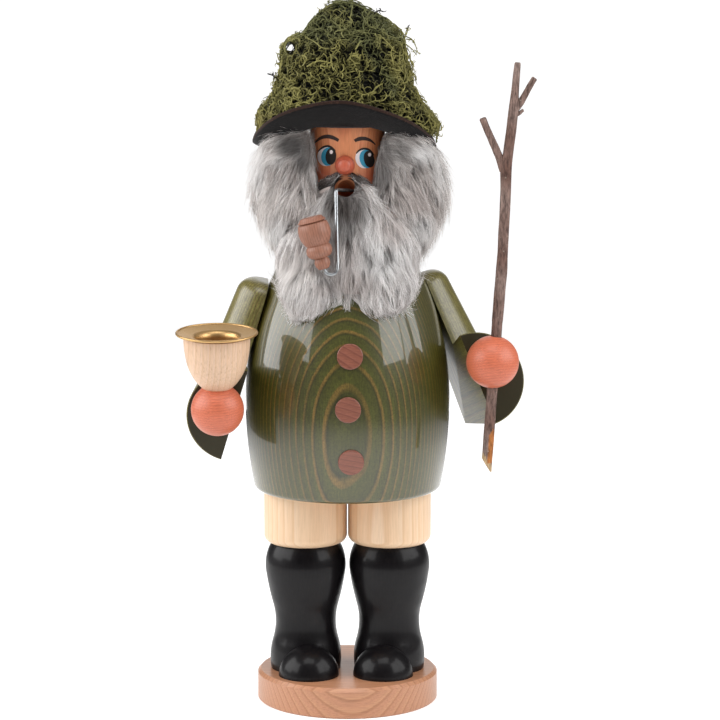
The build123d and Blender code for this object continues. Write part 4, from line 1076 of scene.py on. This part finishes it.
def staff():
    """The twig: its stem, its shoots, and the raw wood of its cut ends."""
    low, high = STAFF_FOOT, STAFF_HEIGHT
    z = np.r_[np.linspace(low, 0, 80), np.linspace(1, high, 190)]
    at, side, size = np.array(STEM).T
    side = np.interp(z, at * high, side, left=0) * STAFF_RADIUS
    size = np.interp(z, at * high, size, left=1) * STAFF_RADIUS
    for values in (side, size):
        values[4:-4] = np.convolve(values, np.ones(9) / 9, "valid")
    size[z < 17] = STAFF_RADIUS - 0.12
    size[-1] *= 0.8
    stem, quads, around = twig_tube(np.c_[side, 0 * z, z], size, 22, 41)
    # The foot is cut on a slant that faces the figure's left
    foot = stem[:, 2] - (low + STAFF_RADIUS) + stem[:, 0] * math.tan(math.radians(FOOT_SLANT))
    stem[:, 2] = np.where(foot < 0, np.minimum(stem[:, 2] - foot, low + 9), stem[:, 2])
    parts = [(stem, quads, around)]
    share = np.linspace(0, 1, 40)
    for a, side_a, b, side_b, thick, thin in SHOOTS:
        x = (side_a + (side_b - side_a) * share) * STAFF_RADIUS + 0.35 * np.sin(share * 5)
        radius = (thick + (thin - thick) * share) * STAFF_RADIUS
        radius[-1] *= 0.75
        parts.append(twig_tube(np.c_[x, 0 * share, (a + (b - a) * share) * high], radius, 16, 50 + int(10 * a)))
    # A point at the middle of each cut end, joined to its ring as thin quads
    total = sum(len(p) for p, _, _ in parts)
    faces, caps, middles, base = [], [], [], 0
    for p, q, around in parts:
        faces.append(q + base)
        for ring in (np.arange(around), len(p) - around + np.arange(around)):
            middle = np.full(around, total + len(middles))
            middles.append(p[ring].mean(0))
            caps.append(np.stack([ring + base, np.roll(ring, -1) + base, middle, middle], 1))
        base += len(p)
    points = np.concatenate([p for p, _, _ in parts] + [np.array(middles)])
    brown, grey, raw, orange = tones("#715348", "#9a857c", "#d9b98e", "#b9743a")
    greyed = np.clip(0.4 + 0.4 * slow_noise(points, 9, 3)[:, None], 0, 1)
    colours = brown * (1 - greyed) + grey * greyed
    x, y, z = points.T
    colours[z < low + 5.5 - x * 1.2] = raw * 0.85
    stripped = (z < low + 17 + 2 * np.sin(y * 3)) & (z > low + 4) & (x > 0.2) & (y < 1.2)
    colours[stripped] = orange
    colours[total:] = raw
    world = STAFF_ORIGIN + points @ STAFF_AXES
    toned_piece("hazel_twig", world, np.concatenate(faces + caps), colours, bark(), "staff", "twig_bark", "staff")


staff()


# Stage, light and camera

def shown_white(material):
    """1 for rays from the camera and for what metal, lacquer and clear things show of the backdrop."""
    path = add(material, "LightPath").outputs
    rays = {0: path["Is Glossy Ray"], 1: path["Is Transmission Ray"]}
    shiny = add(material, "Math", rays, operation="MAXIMUM").outputs[0]
    return add(material, "Math", {0: path["Is Camera Ray"], 1: shiny}, operation="MAXIMUM").outputs[0]


def stage_surface(name, fading):
    """White paper for the camera with the shadows kept, pale for soft light."""
    m = blank_material(name)
    paper = add(m, "BsdfDiffuse", {"Color": linear("#f4f4f4")}).outputs[0]
    glow = add(m, "Emission", {"Color": (1, 1, 1, 1), "Strength": 0.32}).outputs[0]
    lit = add(m, "AddShader", {0: paper, 1: glow}).outputs[0]
    mixed = add(m, "MixShader", {0: shown_white(m), 1: paper, 2: lit}).outputs[0]
    if fading:
        # The dim far end of the table, which only the lacquer sees: it has no hard edge there
        spot = add(m, "TexCoord").outputs["Object"]
        away = add(m, "VectorMath", {0: spot}, operation="LENGTH").outputs["Value"]
        levels = {"Value": away, "From Min": 0.3, "From Max": 0.74}
        far = add(m, "MapRange", levels, interpolation_type="SMOOTHSTEP").outputs[0]
        glossy = add(m, "LightPath").outputs["Is Glossy Ray"]
        dim = add(m, "Math", {0: far, 1: glossy}, operation="MULTIPLY").outputs[0]
        dark = add(m, "Emission", {"Color": (1, 1, 1, 1), "Strength": 0.08}).outputs[0]
        mixed = add(m, "MixShader", {0: dim, 1: mixed, 2: dark}).outputs[0]
    add(m, "OutputMaterial", {"Surface": mixed})
    return m


TABLE_RADIUS, TABLE_SIDES = 0.75, 96


def stage():
    """A round pale table top and a roll of pale paper that sweeps up behind it, in a studio that is otherwise dim."""
    turns = [math.pi / 2 * i / 12 for i in range(13)]
    bend = [(1.2 + 0.8 * math.sin(a), 0.8 - 0.8 * math.cos(a)) for a in turns]
    profile = [(0.0, 0.0), (1.2, 0.0), *bend, (2.0, 4.0)]
    points = [(x * 0.7, y, z - 0.0004) for y, z in profile for x in (-1, 1)]
    faces = [(2 * i, 2 * i + 1, 2 * i + 3, 2 * i + 2) for i in range(len(profile) - 1)]
    angles = [2 * math.pi * i / TABLE_SIDES for i in range(TABLE_SIDES)]
    rim = [(TABLE_RADIUS * math.cos(a), TABLE_RADIUS * math.sin(a), 0) for a in angles]
    pieces = []
    for name, corners, sides in (("paper_sweep", points, faces), ("table_top", rim, [range(TABLE_SIDES)])):
        mesh = bpy.data.meshes.new(name)
        mesh.from_pydata(corners, [], [list(f) for f in sides])
        mesh.materials.append(stage_surface(name, name == "table_top"))
        pieces.append(placed(name, mesh))
    pieces[0].data.shade_smooth()

    world = bpy.data.worlds.new("studio")
    bpy.context.scene.world = world
    world.use_nodes = True
    background = world.node_tree.nodes["Background"]
    background.inputs["Color"].default_value = linear("#ffffff")
    # White to the camera, pale as soft light, and dim in the lacquer, as the dark side of a studio is
    path = add(world, "LightPath").outputs
    level = 0.46
    for ray, change in (("Is Camera Ray", 0.54), ("Is Glossy Ray", -0.38)):
        level = add(world, "Math", {0: path[ray], 1: change, 2: level}, operation="MULTIPLY_ADD").outputs[0]
    world.node_tree.links.new(level, background.inputs["Strength"])


def softbox(name, place, aim, size, power):
    """A rectangular lamp that faces a point; its reflection is the window in the lacquer."""
    lamp = bpy.data.lights.new(name, "AREA")
    lamp.shape = "RECTANGLE"
    lamp.size, lamp.size_y = size
    lamp.energy = power
    holder = placed(name, lamp)
    holder.location = place
    holder.rotation_euler = (Vector(aim) - Vector(place)).to_track_quat("-Z", "Y").to_euler()


stage()
softbox("left_softbox", (-1.0, 0.05, 0.66), (0, 0.02, 0.66), (0.7, 1.0), 9.0)
softbox("left_front_softbox", (-0.926, -0.556, 0.73), (0, 0, 0.6), (0.56, 0.8), 5.2)
softbox("right_softbox", (1.0, -0.1, 0.76), (0, 0.02, 0.72), (0.5, 1.0), 5.4)
softbox("right_front_softbox", (0.877, -0.614, 0.76), (0, 0, 0.6), (0.55, 0.9), 6.0)
softbox("top_softbox", (0.0, -0.6, 1.5), (0, 0, 0.1), (1.0, 0.7), 7.5)

SENSOR = 36
lens = bpy.data.cameras.new("camera")
lens.sensor_width = SENSOR
lens.lens = SENSOR * FOCAL_PX / FRAME_PX
lens.shift_x = (FRAME_PX / 2 - CENTRE_PX[0]) / FRAME_PX
lens.shift_y = (CENTRE_PX[1] - FRAME_PX / 2) / FRAME_PX
camera = placed("camera", lens)
camera.location = EYE
camera.rotation_euler = Euler((math.pi / 2 - PITCH, 0, 0))
bpy.context.scene.camera = camera
bpy.context.scene.view_settings.view_transform = "Standard"
